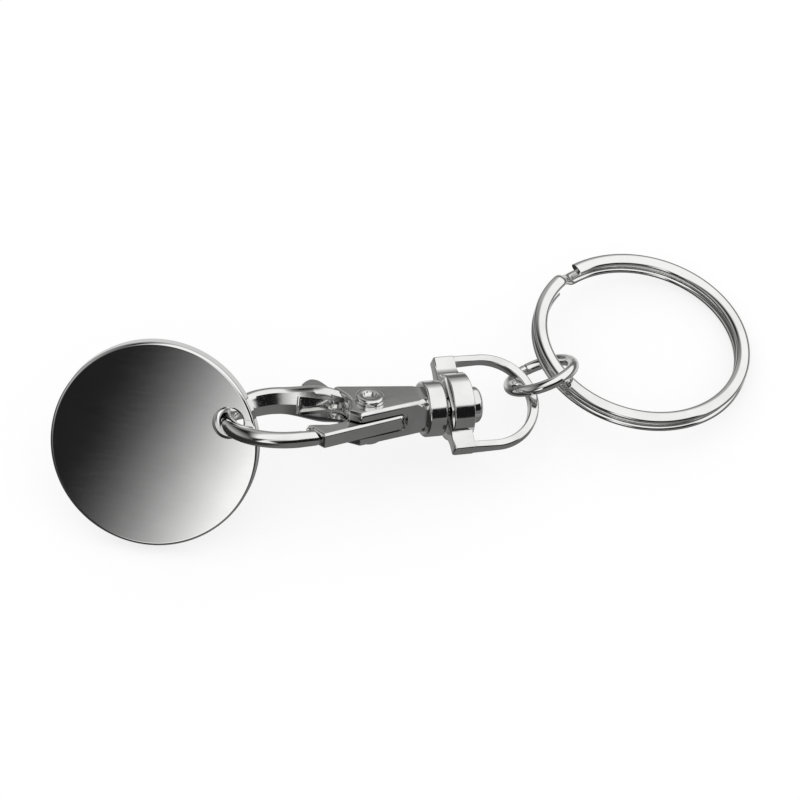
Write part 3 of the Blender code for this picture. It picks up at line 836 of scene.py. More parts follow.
@dataclass
class Clasp:
    """The cast clasp body, measured from the collar's end face along its long axis.

    Args:
        attitude: The turn of the whole clasp on the ground, in degrees.
        hook: The hook that it ends in.
        outline: The cheek plates' outline, with a fillet radius at each corner.
        half_height: Half the height over the two plates.
        edge: The rounding of the plates' edges.
        collar: The collar's radius, length and edge rounding.
        collar_steps: How many faces it has round its axis.
        neck: Each of the neck's sections: its place, its gate and thumb sides, half its height
            and how much of its corners is cut.
        neck_end: The neck's reach where it meets the collar: thumb side, gate side and up.
        neck_sink: How far the neck goes into the collar.
        slot: Where the slot for the lever ends and how far it reaches.
        slot_half: Half the slot's height.
        slot_corner: The rounding of the slot's blind end.
        fork: The outline of the slot's run along the spine, close to the lever's own.
        pivot: Where the lever's rivet goes through.
        bore: The radius and depth of the bore for the swivel post.
        pivot_bore: The radius of the bore for the rivet.
        past: How far the cutters reach past the plates, to the side and up.
    """

    attitude: Angles = (-22.95, 11.4, 14.25)
    hook: Hook = field(default_factory=Hook)
    outline: tuple[Triple, ...] = (
        (-1.7, -1.6, 0.0),
        (-1.7, 1.6, 0.0),
        (-2.88, 2.1, 0.6),
        (-11.2, 3.4, 0.55),
        (-12.08, 3.2, 0.52),
        (-11.46, 2.1, 0.8),
        (-10.98, 1.05, 0.8),
        (-10.8, 0.1, 1.0),
        (-11.22, -1.22, 1.0),
        (-11.82, -2.31, 0.52),
        (-10.32, -3.5, 0.55),
    )
    half_height: float = 2.1
    edge: float = 0.5
    collar: Triple = (3.15, 2.2, 0.3)
    collar_steps: int = 64
    neck: tuple[tuple[float, ...], ...] = (
        (-6.9, -2.25, 2.2, 1.95, 0.3),
        (-3.2, -1.95, 1.75, 2.09, 0.35),
    )
    neck_end: Triple = (2.9, 2.2, 2.32)
    neck_sink: float = 0.2
    slot: Pair = (-4.5, -12.6)
    slot_half: float = 1.1
    slot_corner: float = 0.7
    fork: tuple[Pair, ...] = (
        (-1.5, 1.0),
        (-1.5, 8.0),
        (-14.6, 8.0),
        (-14.8, 5.8),
        (-15.07, 4.9),
        (-15.95, 2.9),
        (-15.95, 1.0),
    )
    pivot: Pair = (-8.6, -0.5)
    bore: Pair = (1.05, 3.0)
    pivot_bore: float = 1.05
    past: Pair = (8.0, 6.0)

    def place(self) -> Matrix:
        """Find the clasp's frame, in millimetres from the world's origin."""
        return Matrix.Translation(joint_place("eye_swivel") / MILLIMETRE) @ turn(self.attitude)

    def tip_place(self, reach: float) -> tuple[Vector, float]:
        """Find where the hook ends, just clear of the gate's swing.

        Args:
            reach: The radius of the gate's swing with its clearance.

        Returns:
            The middle of the end face and its slant in radians.
        """
        level = self.hook.centre[1] - self.hook.drop
        drop = self.pivot[1] - level
        along = self.pivot[0] - math.sqrt(reach ** 2 - drop ** 2)
        return Vector((along, level, 0)), math.asin(drop / reach)

    def cheeks(self) -> BMesh:
        """Build the two cheek plates and the metal between them as one slab.

        Returns:
            The slab.
        """
        bm = plate(filleted(self.outline), -self.half_height, self.half_height)
        faces = level_edge(-self.half_height, self.half_height)
        rounded_edges(bm, self.edge, EDGE_STEPS, faces)
        return bm

    def box_ring(
        self, along: float, low: float, high: float, tall: float, cut: float,
    ) -> list[Vector]:
        """Draw a rectangle with cut corners across the clasp's axis.

        Args:
            along: Where it stands on the axis.
            low: Its side nearer the gate.
            high: Its side nearer the thumb.
            tall: Half its height.
            cut: How much of each corner is cut.

        Returns:
            Its eight points.
        """
        square = (
            (high, -tall + cut), (high, tall - cut), (high - cut, tall), (low + cut, tall),
            (low, tall - cut), (low, -tall + cut), (low + cut, -tall), (high - cut, -tall),
        )
        return [Vector((along, side, up)) for side, up in square]

    def neck_solid(self) -> BMesh:
        """Build the faceted neck between the plates and the collar.

        Returns:
            The neck.
        """
        thumb, gate, up = self.neck_end
        last = []
        for place in range(8):
            angle = math.tau * (place - 0.5) / 8
            reach = thumb if math.cos(angle) > 0 else gate
            side, level = reach * math.cos(angle), up * math.sin(angle)
            last.append(Vector((self.neck_sink - self.collar[1], side, level)))
        return swept([self.box_ring(*box) for box in self.neck] + [last])

    def collar_solid(self) -> BMesh:
        """Build the round collar that the eye turns against."""
        radius, length, edge = self.collar
        return drum(radius, -length, 0.0, edge, self.collar_steps)

    def cutters(self) -> list[BMesh]:
        """Build the slot, the fork and the two bores.

        Returns:
            The solids to take away.
        """
        end, reach = self.slot
        side, up = self.past

        def blind_edge(edge: BMEdge) -> bool:
            """Say whether an edge runs across the slot's blind end."""
            first, last = (vert.co for vert in edge.verts)
            return max(abs(first.x - end), abs(last.x - end)) < TOUCH < abs(first.y - last.y)

        slot = block((reach, -side, -self.slot_half), (end, side, self.slot_half))
        rounded_edges(slot, self.slot_corner, EDGE_STEPS, blind_edge)
        fork = plate(self.fork, -self.slot_half, self.slot_half)
        radius, depth = self.bore
        pin = rod(self.pivot_bore, -up, up)
        upright = Matrix.Translation((*self.pivot, 0)) @ Matrix.Rotation(math.pi / 2, 4, "Y")
        bmesh.ops.transform(pin, matrix=upright, verts=pin.verts)
        return [slot, fork, rod(radius, -depth, depth), pin]

    def build(self, reach: float) -> bpy.types.Object:
        """Build the whole casting.

        Args:
            reach: The radius of the gate's swing with its clearance.

        Returns:
            The finished casting.
        """
        hook = self.hook.solid(*self.tip_place(reach))
        joined = (self.neck_solid(), self.collar_solid(), hook)
        casting = combined(self.cheeks(), joined, self.cutters())
        return finished(
            casting, "clasp_casting", self.place(), Body.CLASP, CASTING, "clasp_body",
        )


@dataclass
class Lever:
    """The gate and thumb trigger in one plate, measured from its rivet.

    Args:
        reach: The radius of the gate's end about the rivet.
        clearance: The gap between the gate's end and the hook's tip.
        half_height: Half the plate's thickness.
        edge: The rounding of its edges.
        outline: Its outline, with a fillet radius at each corner.
        lip: How deep the gate's inner side lies at its end.
        near: How deep its outer side lies there.
        steps: How many edges each fillet and rounding has.
        end_steps: How many edges the gate's end has.
        bore: The radius of its rivet hole and half the length of the hole's cutter.
        ridge: Each end of the ridge under the trigger: its place, and how far its flanks fall.
        flank: How far each flank reaches to the side, and how far its cutter does.
    """

    reach: float = 7.9
    clearance: float = 0.2
    half_height: float = 0.92
    edge: float = 0.38
    outline: tuple[Triple, ...] = (
        (3.1, -2.22, 0.55),
        (3.9, -1.85, 0.55),
        (3.45, -1.1, 0.55),
        (2.21, 0.59, 0.7),
        (0.95, 2.57, 0.8),
        (-1.03, 3.83, 0.7),
        (-2.45, 4.94, 0.7),
        (-2.84, 5.81, 0.6),
        (-3.2, 6.75, 0.8),
        (-3.56, 7.39, 0.8),
        (-4.19, 7.82, 0.8),
        (-4.74, 7.74, 0.8),
        (-5.25, 7.43, 0.8),
        (-5.77, 6.91, 0.8),
        (-6.08, 6.2, 0.8),
        (-6.32, 5.41, 0.8),
        (-7.19, 3.2, 0.55),
        (-2.61, 3.4, 0.8),
        (-2.13, 2.65, 0.5),
        (-2.01, 0.83, 1.2),
        (-2.53, -0.91, 1.2),
        (-3.48, -1.9, 1.0),
        (-4.9, -2.17, 1.0),
        (-7.98, -2.41, 0.0),
        (-7.98, -2.57, 0.0),
    )
    lip: float = 2.57
    near: float = 4.6
    steps: int = 3
    end_steps: int = 6
    bore: Pair = (1.05, 3.0)
    ridge: tuple[Triple, Triple] = ((-8.0, 3.16, 0.5), (-3.0, 3.38, 0.5))
    flank: Pair = (1.0, 1.6)

    def ridge_cutters(self) -> list[BMesh]:
        """Build the two wedges that leave a ridge along the trigger's underside.

        Returns:
            The two wedges.
        """
        wedges = []
        wide, past = self.flank
        for side in (1, -1):
            rings = []
            for along, level, rise in self.ridge:
                section = ((-wide, 0.0), (0.0, 0.0), (rise, wide), (rise, past), (-wide, past))
                rings.append([Vector((along, level + up, side * out)) for up, out in section])
            wedges.append(swept(rings))
        return wedges

    def place(self, clasp: Clasp) -> Matrix:
        """Find the lever's frame on the clasp's rivet."""
        return clasp.place() @ Matrix.Translation((*clasp.pivot, 0))

    def end_arc(self) -> list[Pair]:
        """Draw the gate's end, on an arc about the rivet.

        Returns:
            The arc's points.
        """
        start = math.pi + math.asin(self.lip / self.reach)
        end = math.pi + math.asin(self.near / self.reach)
        shares = [step / self.end_steps for step in range(self.end_steps + 1)]
        angles = [blend(start, end, share) for share in shares]
        return [(self.reach * math.cos(angle), self.reach * math.sin(angle)) for angle in angles]

    def build(self, clasp: Clasp) -> bpy.types.Object:
        """Build the lever.

        Args:
            clasp: The clasp that carries it.

        Returns:
            The finished lever.
        """
        outline = filleted(self.outline, self.steps) + self.end_arc()
        bm = plate(outline, -self.half_height, self.half_height)
        faces = level_edge(-self.half_height, self.half_height)
        rounded_edges(bm, self.edge, self.steps, faces)
        radius, past = self.bore
        pin = rod(radius, -past, past)
        bmesh.ops.rotate(pin, matrix=Matrix.Rotation(math.pi / 2, 3, "Y"), verts=pin.verts)
        lever = combined(bm, cut=[pin, *self.ridge_cutters()])
        return finished(
            lever, "gate_lever", self.place(clasp), Body.LEVER, LEVER_PLATE, "lever",
        )


@dataclass
class LeverRivet:
    """The semi-tubular rivet that the lever turns on.

    Args:
        shank: The shank's radius.
        head: The head's radius.
        seat: How far each head's underside lies from the middle.
        height: The head's height.
        recess: The radius and depth of the recess in each head.
        floor: The recess's lower corner, as places up from its floor and out from its wall.
        mouth: Its upper corner, as places up from the head's top and out from its wall.
        roll: The rounding of the head's outer edge.
        foot: The cut of the head's lower edge.
        steps: How many faces it has round its axis.
        roll_steps: How many faces the rounding has.
    """

    shank: float = 0.75
    head: float = 1.65
    seat: float = 2.13
    height: float = 0.66
    recess: Pair = (0.78, 0.36)
    floor: tuple[Pair, ...] = ((0.0, -0.22), (0.08, -0.1))
    mouth: tuple[Pair, ...] = ((-0.12, 0.0), (-0.03, 0.05), (0.0, 0.14))
    roll: float = 0.3
    foot: float = 0.05
    steps: int = 64
    roll_steps: int = 6

    def half_profile(self) -> list[Pair]:
        """Draw one head, from the middle of its recess to the shank.

        Returns:
            Pairs of place along the axis and radius.
        """
        top = self.seat + self.height
        radius, depth = self.recess
        roll, foot, rim = self.roll, self.foot, self.head - self.roll
        bend = quarter_turn(self.roll_steps)
        profile = [(top - depth, 0.0)]
        profile += [(top - depth + up, radius + out) for up, out in self.floor]
        profile += [(top + up, radius + out) for up, out in self.mouth]
        profile += [(top - roll + roll * up, rim + roll * out) for up, out in bend]
        profile += [(self.seat + foot, self.head), (self.seat, self.head - foot)]
        return profile + [(self.seat, self.shank)]

    def build(self, clasp: Clasp) -> bpy.types.Object:
        """Build the rivet in the clasp's plates.

        Args:
            clasp: The clasp that carries it.

        Returns:
            The finished piece.
        """
        half = self.half_profile()
        profile = half + [(-along, radius) for along, radius in reversed(half)]
        upright = Matrix.Translation((*clasp.pivot, 0)) @ Matrix.Rotation(-math.pi / 2, 4, "Y")
        return finished(
            turned(profile, self.steps), "tubular_rivet", clasp.place() @ upright, Body.CLASP,
            RIVET_PLATE, "lever_rivet",
        )


@dataclass
class LeverSpring:
    """The small coil that closes the gate, hidden in the slot.

    Args:
        wire: The wire's radius.
        coil: The coil's radius on the middle of the wire.
        turns: How many turns it has.
        steps: How many sections a turn takes.
        sides: How many points a section has.
        ends: Where it starts at the lever and ends at the slot's wall.
        level: How far it stands off the rivet's level, towards the thumb.
    """

    wire: float = 0.14
    coil: float = 0.72
    turns: int = 4
    steps: int = 20
    sides: int = 8
    ends: Pair = (-6.26, -4.54)
    level: float = 1.4

    def build(self, clasp: Clasp) -> bpy.types.Object:
        """Build the spring.

        Args:
            clasp: The clasp that carries it.

        Returns:
            The finished piece.
        """
        rings = []
        count = self.turns * self.steps
        level = clasp.pivot[1] + self.level
        for step in range(count + 1):
            angle = math.tau * step / self.steps
            out = Vector((0, math.cos(angle), math.sin(angle)))
            middle = Vector((blend(*self.ends, step / count), level, 0)) + out * self.coil
            rings.append(wire_section(middle, out, self.wire, self.sides))
        spring = finished(
            swept(rings), "closing_spring", clasp.place(), Body.CLASP,
            SPRING_STEEL, "lever_spring",
        )
        place = clasp.place()
        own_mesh(spring)
        return spring


@dataclass
class SwivelPost:
    """The headed post that holds the eye against the collar.

    Args:
        shank: The shank's radius.
        head: The head's radius.
        seat: Where the head's underside lies.
        rim: The height of the head's side.
        dome: How far its top rises above the rim.
        fullness: The power that shapes the dome, where 1 is half an ellipse.
        foot: How deep the shank goes into the collar.
        steps: How many faces it has round its axis.
        dome_steps: How many faces the dome has from its rim to its top.
    """

    shank: float = 0.95
    head: float = 2.05
    seat: float = 3.3
    rim: float = 0.75
    dome: float = 0.65
    fullness: float = 0.55
    foot: float = -2.6
    steps: int = 64
    dome_steps: int = 10

    def build(self, clasp: Clasp) -> bpy.types.Object:
        """Build the post on the clasp's axis.

        Args:
            clasp: The clasp that carries it.

        Returns:
            The finished piece.
        """
        shoulder = self.seat + self.rim
        profile = [(self.foot, 0.0), (self.foot, self.shank)]
        profile += [(self.seat, self.shank), (self.seat, self.head)]
        for out, up in quarter_turn(self.dome_steps)[:-1]:
            profile.append((shoulder + self.dome * up, self.head * out ** self.fullness))
        profile.append((shoulder + self.dome, 0.0))
        return finished(
            turned(profile, self.steps), "swivel_post", clasp.place(), Body.CLASP,
            RIVET_PLATE, "swivel_rivet",
        )


@dataclass
class SwivelEye:
    """The D-shaped eye: a bar, a round boss in its middle and a bent wire from end to end.

    Args:
        spin: How far the eye is turned about the clasp's axis, in degrees.
        half_width: Half the bar's length.
        shift: How far the loop stands to one side of the post.
        wire: The wire's width and height.
        wire_edges: The rounding of its edges outside and inside the bend.
        swell: How much thicker the wire is in its bend.
        arm: How far the arms run before the bend.
        root: How far the arms go into the bar, and how far under its faces they stay.
        bar: The bar's extent along the axis and its half height.
        bar_edge: The rounding of its edges.
        boss: The boss's radius and its extent along the axis.
        boss_edge: The rounding of its edges.
        fillet: The metal between boss and bar: where its flank starts and how high, as shares of
            the boss's radius, and the power of its fall.
        fillet_inset: How far it stays inside the bar: at its ends, above, behind and in front.
        bore: The radius of the bore, and of the room for the post's head.
        past: Where the cutters start behind the eye and end in front of it.
        bend_steps: How many sections the bend takes.
        boss_steps: How many faces the boss has round its axis.
        flank_steps: How many edges each flank of the fillet has.
    """

    spin: float = 32.0
    half_width: float = 5.9
    shift: float = 0.15
    wire: Pair = (0.95, 1.2)
    wire_edges: Pair = (0.33, 0.2)
    swell: float = 0.18
    arm: float = 5.55
    root: Pair = (0.6, 0.02)
    bar: Triple = (0.3, 2.85, 0.84)
    bar_edge: float = 0.28
    boss: Triple = (3.75, 0.55, 3.0)
    boss_edge: float = 0.16
    fillet: Triple = (0.55, 0.8, 2.6)
    fillet_inset: tuple[float, ...] = (0.55, 0.12, 0.04, 0.12)
    bore: Pair = (1.1, 2.35)
    past: Pair = (-2.0, 5.0)
    bend_steps: int = 48
    boss_steps: int = 96
    flank_steps: int = 12

    def place(self, clasp: Clasp) -> Matrix:
        """Find the eye's frame on the clasp's axis."""
        return clasp.place() @ turn((self.spin, 0, 0))

    def radius(self) -> float:
        """Find the radius of the bend on the middle of the wire."""
        return self.half_width - self.wire[0] / 2

    def arc_point(self, angle: float) -> tuple[Vector, Vector]:
        """Follow the bend.

        Args:
            angle: The angle round it, in degrees.

        Returns:
            The point and the wire's direction.
        """
        turned_to = math.radians(angle)
        along = self.arm + self.radius() * math.cos(turned_to)
        across = self.shift + self.radius() * math.sin(turned_to)
        return Vector((along, across, 0)), Vector((-math.sin(turned_to), math.cos(turned_to), 0))

    def bow(self) -> BMesh:
        """Build the bent wire, whose arms grow to the bar's height at their roots.

        Returns:
            The bow.
        """
        wide, high = self.wire[0] / 2, self.wire[1] / 2
        outer, inner = self.wire_edges
        section = filleted((
            (wide, -high, outer), (wide, high, outer), (-wide, high, inner), (-wide, -high, inner),
        ), 4)
        root = self.bar[1] - self.root[0]
        tall = (self.bar[2] - self.root[1]) / high
        spots = [(Vector((root, self.shift - self.radius(), 0)), Vector((1, 0, 0)), 1.0, tall)]
        for step in range(self.bend_steps + 1):
            angle = blend(-90.0, 90.0, step / self.bend_steps)
            size = 1 + self.swell * math.cos(math.radians(angle))
            spots.append((*self.arc_point(angle), size, size))
        spots.append((Vector((root, self.shift + self.radius(), 0)), Vector((-1, 0, 0)), 1.0, tall))
        rings = []
        for point, travel, size, lift in spots:
            away = Vector((travel.y, -travel.x, 0))
            rings.append([
                point + away * out * size + Vector((0, 0, up * lift)) for out, up in section
            ])
        return swept(rings)

    def bar_solid(self) -> BMesh:
        """Build the bar with rounded edges.

        Returns:
            The bar.
        """
        low, high, tall = self.bar
        left, right = self.shift - self.half_width, self.shift + self.half_width
        bm = block((low, left, -tall), (high, right, tall))
        rounded_edges(bm, self.bar_edge, EDGE_STEPS, sharp_edge(60))
        return bm

    def boss_solid(self) -> BMesh:
        """Build the round boss in the middle of the bar."""
        return drum(*self.boss, self.boss_edge, self.boss_steps)

    def fillet_solid(self) -> BMesh:
        """Build the metal that fills the corner between the boss and the bar.

        Returns:
            The metal, on both sides of the boss.
        """
        low, high, tall = self.bar
        radius = self.boss[0]
        start, height, power = self.fillet
        ends, above, behind, front = self.fillet_inset
        flank = []
        for step in range(self.flank_steps + 1):
            share = step / self.flank_steps
            across = blend(radius * start, self.half_width - ends, share)
            flank.append((across, tall - above + (radius * height - tall) * (1 - share) ** power))
        top = [(-across, up) for across, up in reversed(flank)] + flank
        ring = top + [(across, -up) for across, up in reversed(top)]
        bm = plate([(across + self.shift, up) for across, up in ring], low + behind, high - front)
        upright = Matrix(((0, 0, 1, 0), (1, 0, 0, 0), (0, 1, 0, 0), (0, 0, 0, 1)))
        bmesh.ops.transform(bm, matrix=upright, verts=bm.verts)
        return bm

    def build(self, clasp: Clasp) -> bpy.types.Object:
        """Build the eye on the clasp's axis.

        Args:
            clasp: The clasp that carries it.

        Returns:
            The finished piece.
        """
        back, front = self.past
        bore = rod(self.bore[0], back, front)
        room = rod(self.bore[1], self.boss[2], front)
        joined = (self.boss_solid(), self.fillet_solid(), self.bow())
        eye = combined(self.bar_solid(), joined, (room, bore))
        return finished(
            eye, "d_eye", self.place(clasp), Body.EYE, CASTING, "swivel_eye",
        )


@dataclass
class Token:
    """The trolley token: a slightly crowned disc with a drilled hole.

    Args:
        seat_angle: Where it hangs on the hook, in degrees round the oval.
        axis_turn: The turn of its swing axis from the wire, in degrees.
        attitude: Its own turn from there, in degrees.
        play_angle: The direction in which the hole is pulled off the wire.
        radius: The token's radius.
        half_height: Half its thickness.
        edge: The rounding of its rim.
        crown: How much its faces rise in the middle.
        hole: The hole's radius.
        sink: The width of the hole's chamfer.
        margin: How far the hole's middle lies from the rim.
        seat_gap: The gap between the hole and the wire that it hangs on.
        face_shares: Where the rings of a face lie, as shares of its radius.
        past: How far the hole's cutter reaches past its chamfers.
        steps: How many faces the disc and the hole have round their axes.
        edge_steps: How many faces the rounding of the rim has.
    """

    seat_angle: float = 169.0
    axis_turn: Angles = (0.0, -13.6, 9.5)
    attitude: Angles = (-159.3, -2.3, -17.1)
    play_angle: float = 161.0
    radius: float = 11.65
    half_height: float = 1.05
    edge: float = 0.32
    crown: float = 0.11
    hole: float = 1.6
    sink: float = 0.2
    margin: float = 2.75
    seat_gap: float = 0.3
    face_shares: tuple[float, ...] = (*(step / 24 for step in range(24)), 0.985, 0.997, 1.0)
    past: float = 1.0
    steps: tuple[int, int] = (160, 64)
    edge_steps: int = 6

    def place(self, clasp: Clasp) -> tuple[Matrix, Matrix]:
        """Find the token's frame and its hole's, with X through the token.

        Args:
            clasp: The clasp that carries it.

        Returns:
            The token's frame and the hole's.
        """
        hook = clasp.hook
        seat = seat_frame(*hook.point(self.seat_angle), Vector((0, 0, 1)))
        base = clasp.place() @ seat @ turn(self.axis_turn) @ turn(self.attitude)
        play = self.hole - hook.wire - self.seat_gap
        pull = math.radians(self.play_angle)
        shift = Vector((0, play * math.cos(pull), play * math.sin(pull)))
        hole = base @ Matrix.Translation(shift)
        return hole @ Matrix.Translation((0, self.radius - self.margin, 0)), hole

    def disc(self) -> BMesh:
        """Build the disc, from the middle of one face round the rim to the other.

        Returns:
            The disc.
        """
        flat = self.radius - self.edge
        side = self.half_height - self.edge
        half = []
        for share in self.face_shares:
            half.append((self.half_height + self.crown * (1 - share ** 2), flat * share))
        for up, out in quarter_turn(self.edge_steps)[1:]:
            half.append((side + self.edge * up, flat + self.edge * out))
        return turned(half + [(-along, radius) for along, radius in reversed(half)], self.steps[0])

    def drill(self) -> BMesh:
        """Build the cutter for the hole, with its chamfers.

        Returns:
            The cutter.
        """
        past = self.half_height + self.past
        throat = self.half_height - self.sink
        sunk = self.hole + self.sink + self.past
        half = [(past, 0.0), (past, sunk), (throat, self.hole)]
        return turned(half + [(-along, radius) for along, radius in reversed(half)], self.steps[1])

    def build(self, clasp: Clasp) -> bpy.types.Object:
        """Build the token on the hook.

        Args:
            clasp: The clasp that carries it.

        Returns:
            The finished piece.
        """
        place, hole = self.place(clasp)
        drill = self.drill()
        bmesh.ops.transform(drill, matrix=place.inverted() @ hole, verts=drill.verts)
        disc = combined(self.disc(), cut=[drill])
        return finished(disc, "trolley_token", place, Body.TOKEN, MIRROR, "token", 25.0)


@dataclass
class JumpRing:
    """The round wire ring between the eye and the key ring.

    Args:
        seat_angle: Where it hangs in the eye's bend, in degrees.
        attitude: Its turn from the eye's wire, in degrees.
        radius: Its radius on the middle of the wire.
        wire: The wire's radius.
        seam: The width of its butt seam.
        seam_edge: How far round the seam's edges reach, in radians, and the share that they leave.
        hang_gap: The gap between it and the eye's wire.
        steps: How many sections the ring would take all round.
        sides: How many points a section has.
    """

    seat_angle: float = 20.5
    attitude: Angles = (171.7, -38.2, 5.1)
    radius: float = 3.8
    wire: float = 0.65
    seam: float = 0.12
    seam_edge: Pair = (0.015, 0.9)
    hang_gap: float = 0.43
    steps: int = 88
    sides: int = 24

    def place(self, clasp: Clasp, eye: SwivelEye) -> Matrix:
        """Find the ring's frame, with X square to it.

        Args:
            clasp: The clasp that carries the eye.
            eye: The eye that carries it.

        Returns:
            The ring's frame.
        """
        seat = seat_frame(*eye.arc_point(self.seat_angle), Vector((0, 0, 1)))
        reach = self.radius - self.wire - eye.wire[1] / 2 - self.hang_gap
        return eye.place(clasp) @ seat @ turn(self.attitude) @ Matrix.Translation((0, reach, 0))

    def build(self, clasp: Clasp, eye: SwivelEye) -> bpy.types.Object:
        """Build the ring in the eye.

        Args:
            clasp: The clasp that carries the eye.
            eye: The eye that carries it.

        Returns:
            The finished piece.
        """
        seam = self.seam / self.radius
        run, share = self.seam_edge
        stations = [(seam / 2, share), (seam / 2 + run, 1.0)]
        stations += [
            (blend(seam, math.tau - seam, step / self.steps), 1.0) for step in range(1, self.steps)
        ]
        stations += [(math.tau - seam / 2 - run, 1.0), (math.tau - seam / 2, share)]
        rings = []
        for angle, size in stations:
            out = Vector((0, math.cos(angle + math.pi / 2), math.sin(angle + math.pi / 2)))
            rings.append(wire_section(out * self.radius, out, size * self.wire, self.sides))
        return finished(
            swept(rings), "round_jump_ring", self.place(clasp, eye), Body.JUMP_RING,
            BRIGHT_WIRE, "jump_ring",
        )


@dataclass
class KeyRing:
    """The split key ring: one flat wire wound twice round, with a crossover.

    Args:
        seat_angle: Where it hangs on the jump ring, in degrees.
        axis_turn: The turn of its swing axis from the wire, in degrees.
        attitude: Its own turn from there, in degrees.
        outer: Its outer radius.
        wire: The wire's width and height.
        coil_gap: The gap between the two coils.
        hang_gap: The gap between it and the jump ring's wire.
        cut: Where the first coil's end lies, in degrees.
        crossover: The angle over which the wire changes coil.
        clearance: The angle between a cut end and the crossover.
        squareness: The power that shapes the wire's section, where 1 is an ellipse.
        steps: How many sections the wire takes.
        sides: How many points a section has.
    """

    seat_angle: float = 6.1
    axis_turn: Angles = (0.0, -20.8, -174.1)
    attitude: Angles = (18.5, 152.3, 3.4)
    outer: float = 12.6
    wire: Pair = (1.6, 0.85)
    coil_gap: float = 0.44
    hang_gap: float = 0.72
    cut: float = -13.0
    crossover: float = 11.0
    clearance: float = 3.0
    squareness: float = 0.96
    steps: int = 348
    sides: int = 24

    def place(self, clasp: Clasp, eye: SwivelEye, jump: JumpRing) -> Matrix:
        """Find the ring's frame, with Z square to it.

        Args:
            clasp: The clasp that carries the eye.
            eye: The eye that carries the jump ring.
            jump: The jump ring that carries it.

        Returns:
            The ring's frame.
        """
        angle = math.radians(self.seat_angle)
        point = Vector((0, jump.radius * math.cos(angle), jump.radius * math.sin(angle)))
        tangent = Vector((0, -math.sin(angle), math.cos(angle)))
        seat = seat_frame(point, tangent, Vector((1, 0, 0)))
        reach = self.outer - self.wire[0] - jump.wire - self.hang_gap
        carried = jump.place(clasp, eye) @ seat @ turn(self.axis_turn) @ turn(self.attitude)
        return carried @ Matrix.Translation((0, reach, 0)) @ Matrix.Rotation(math.pi / 2, 4, "Y")

    def section(self) -> list[Pair]:
        """Draw the wire's section, a flattened round.

        Returns:
            Its points, as places across and up.
        """
        wide, high = self.wire[0] / 2, self.wire[1] / 2
        section = []
        for step in range(self.sides):
            angle = -math.tau * step / self.sides
            along, up = math.cos(angle), math.sin(angle)
            section.append((
                wide * math.copysign(abs(along) ** self.squareness, along),
                high * math.copysign(abs(up) ** self.squareness, up),
            ))
        return section

    def build(self, clasp: Clasp, eye: SwivelEye, jump: JumpRing) -> bpy.types.Object:
        """Build the ring on the jump ring.

        Args:
            clasp: The clasp that carries the eye.
            eye: The eye that carries the jump ring.
            jump: The jump ring that carries it.

        Returns:
            The finished piece.
        """
        middle = self.outer - self.wire[0] / 2
        rise = (self.wire[1] + self.coil_gap) / 2
        end = 720.0 - self.crossover - 2 * self.clearance
        section = self.section()
        rings = []
        for step in range(self.steps + 1):
            angle = end * step / self.steps
            drop = smooth_step((angle - 360.0 + self.clearance + self.crossover) / self.crossover)
            turned_to = math.radians(self.cut + angle)
            out = Vector((math.cos(turned_to), math.sin(turned_to), 0))
            level = Vector((0, 0, rise * (2 * drop - 1)))
            rings.append([out * (middle + x) + level + Vector((0, 0, y)) for x, y in section])
        return finished(
            swept(rings), "split_key_ring", self.place(clasp, eye, jump), Body.KEY_RING,
            FLAT_WIRE, "split_ring", 40.0,
        )


# Studio


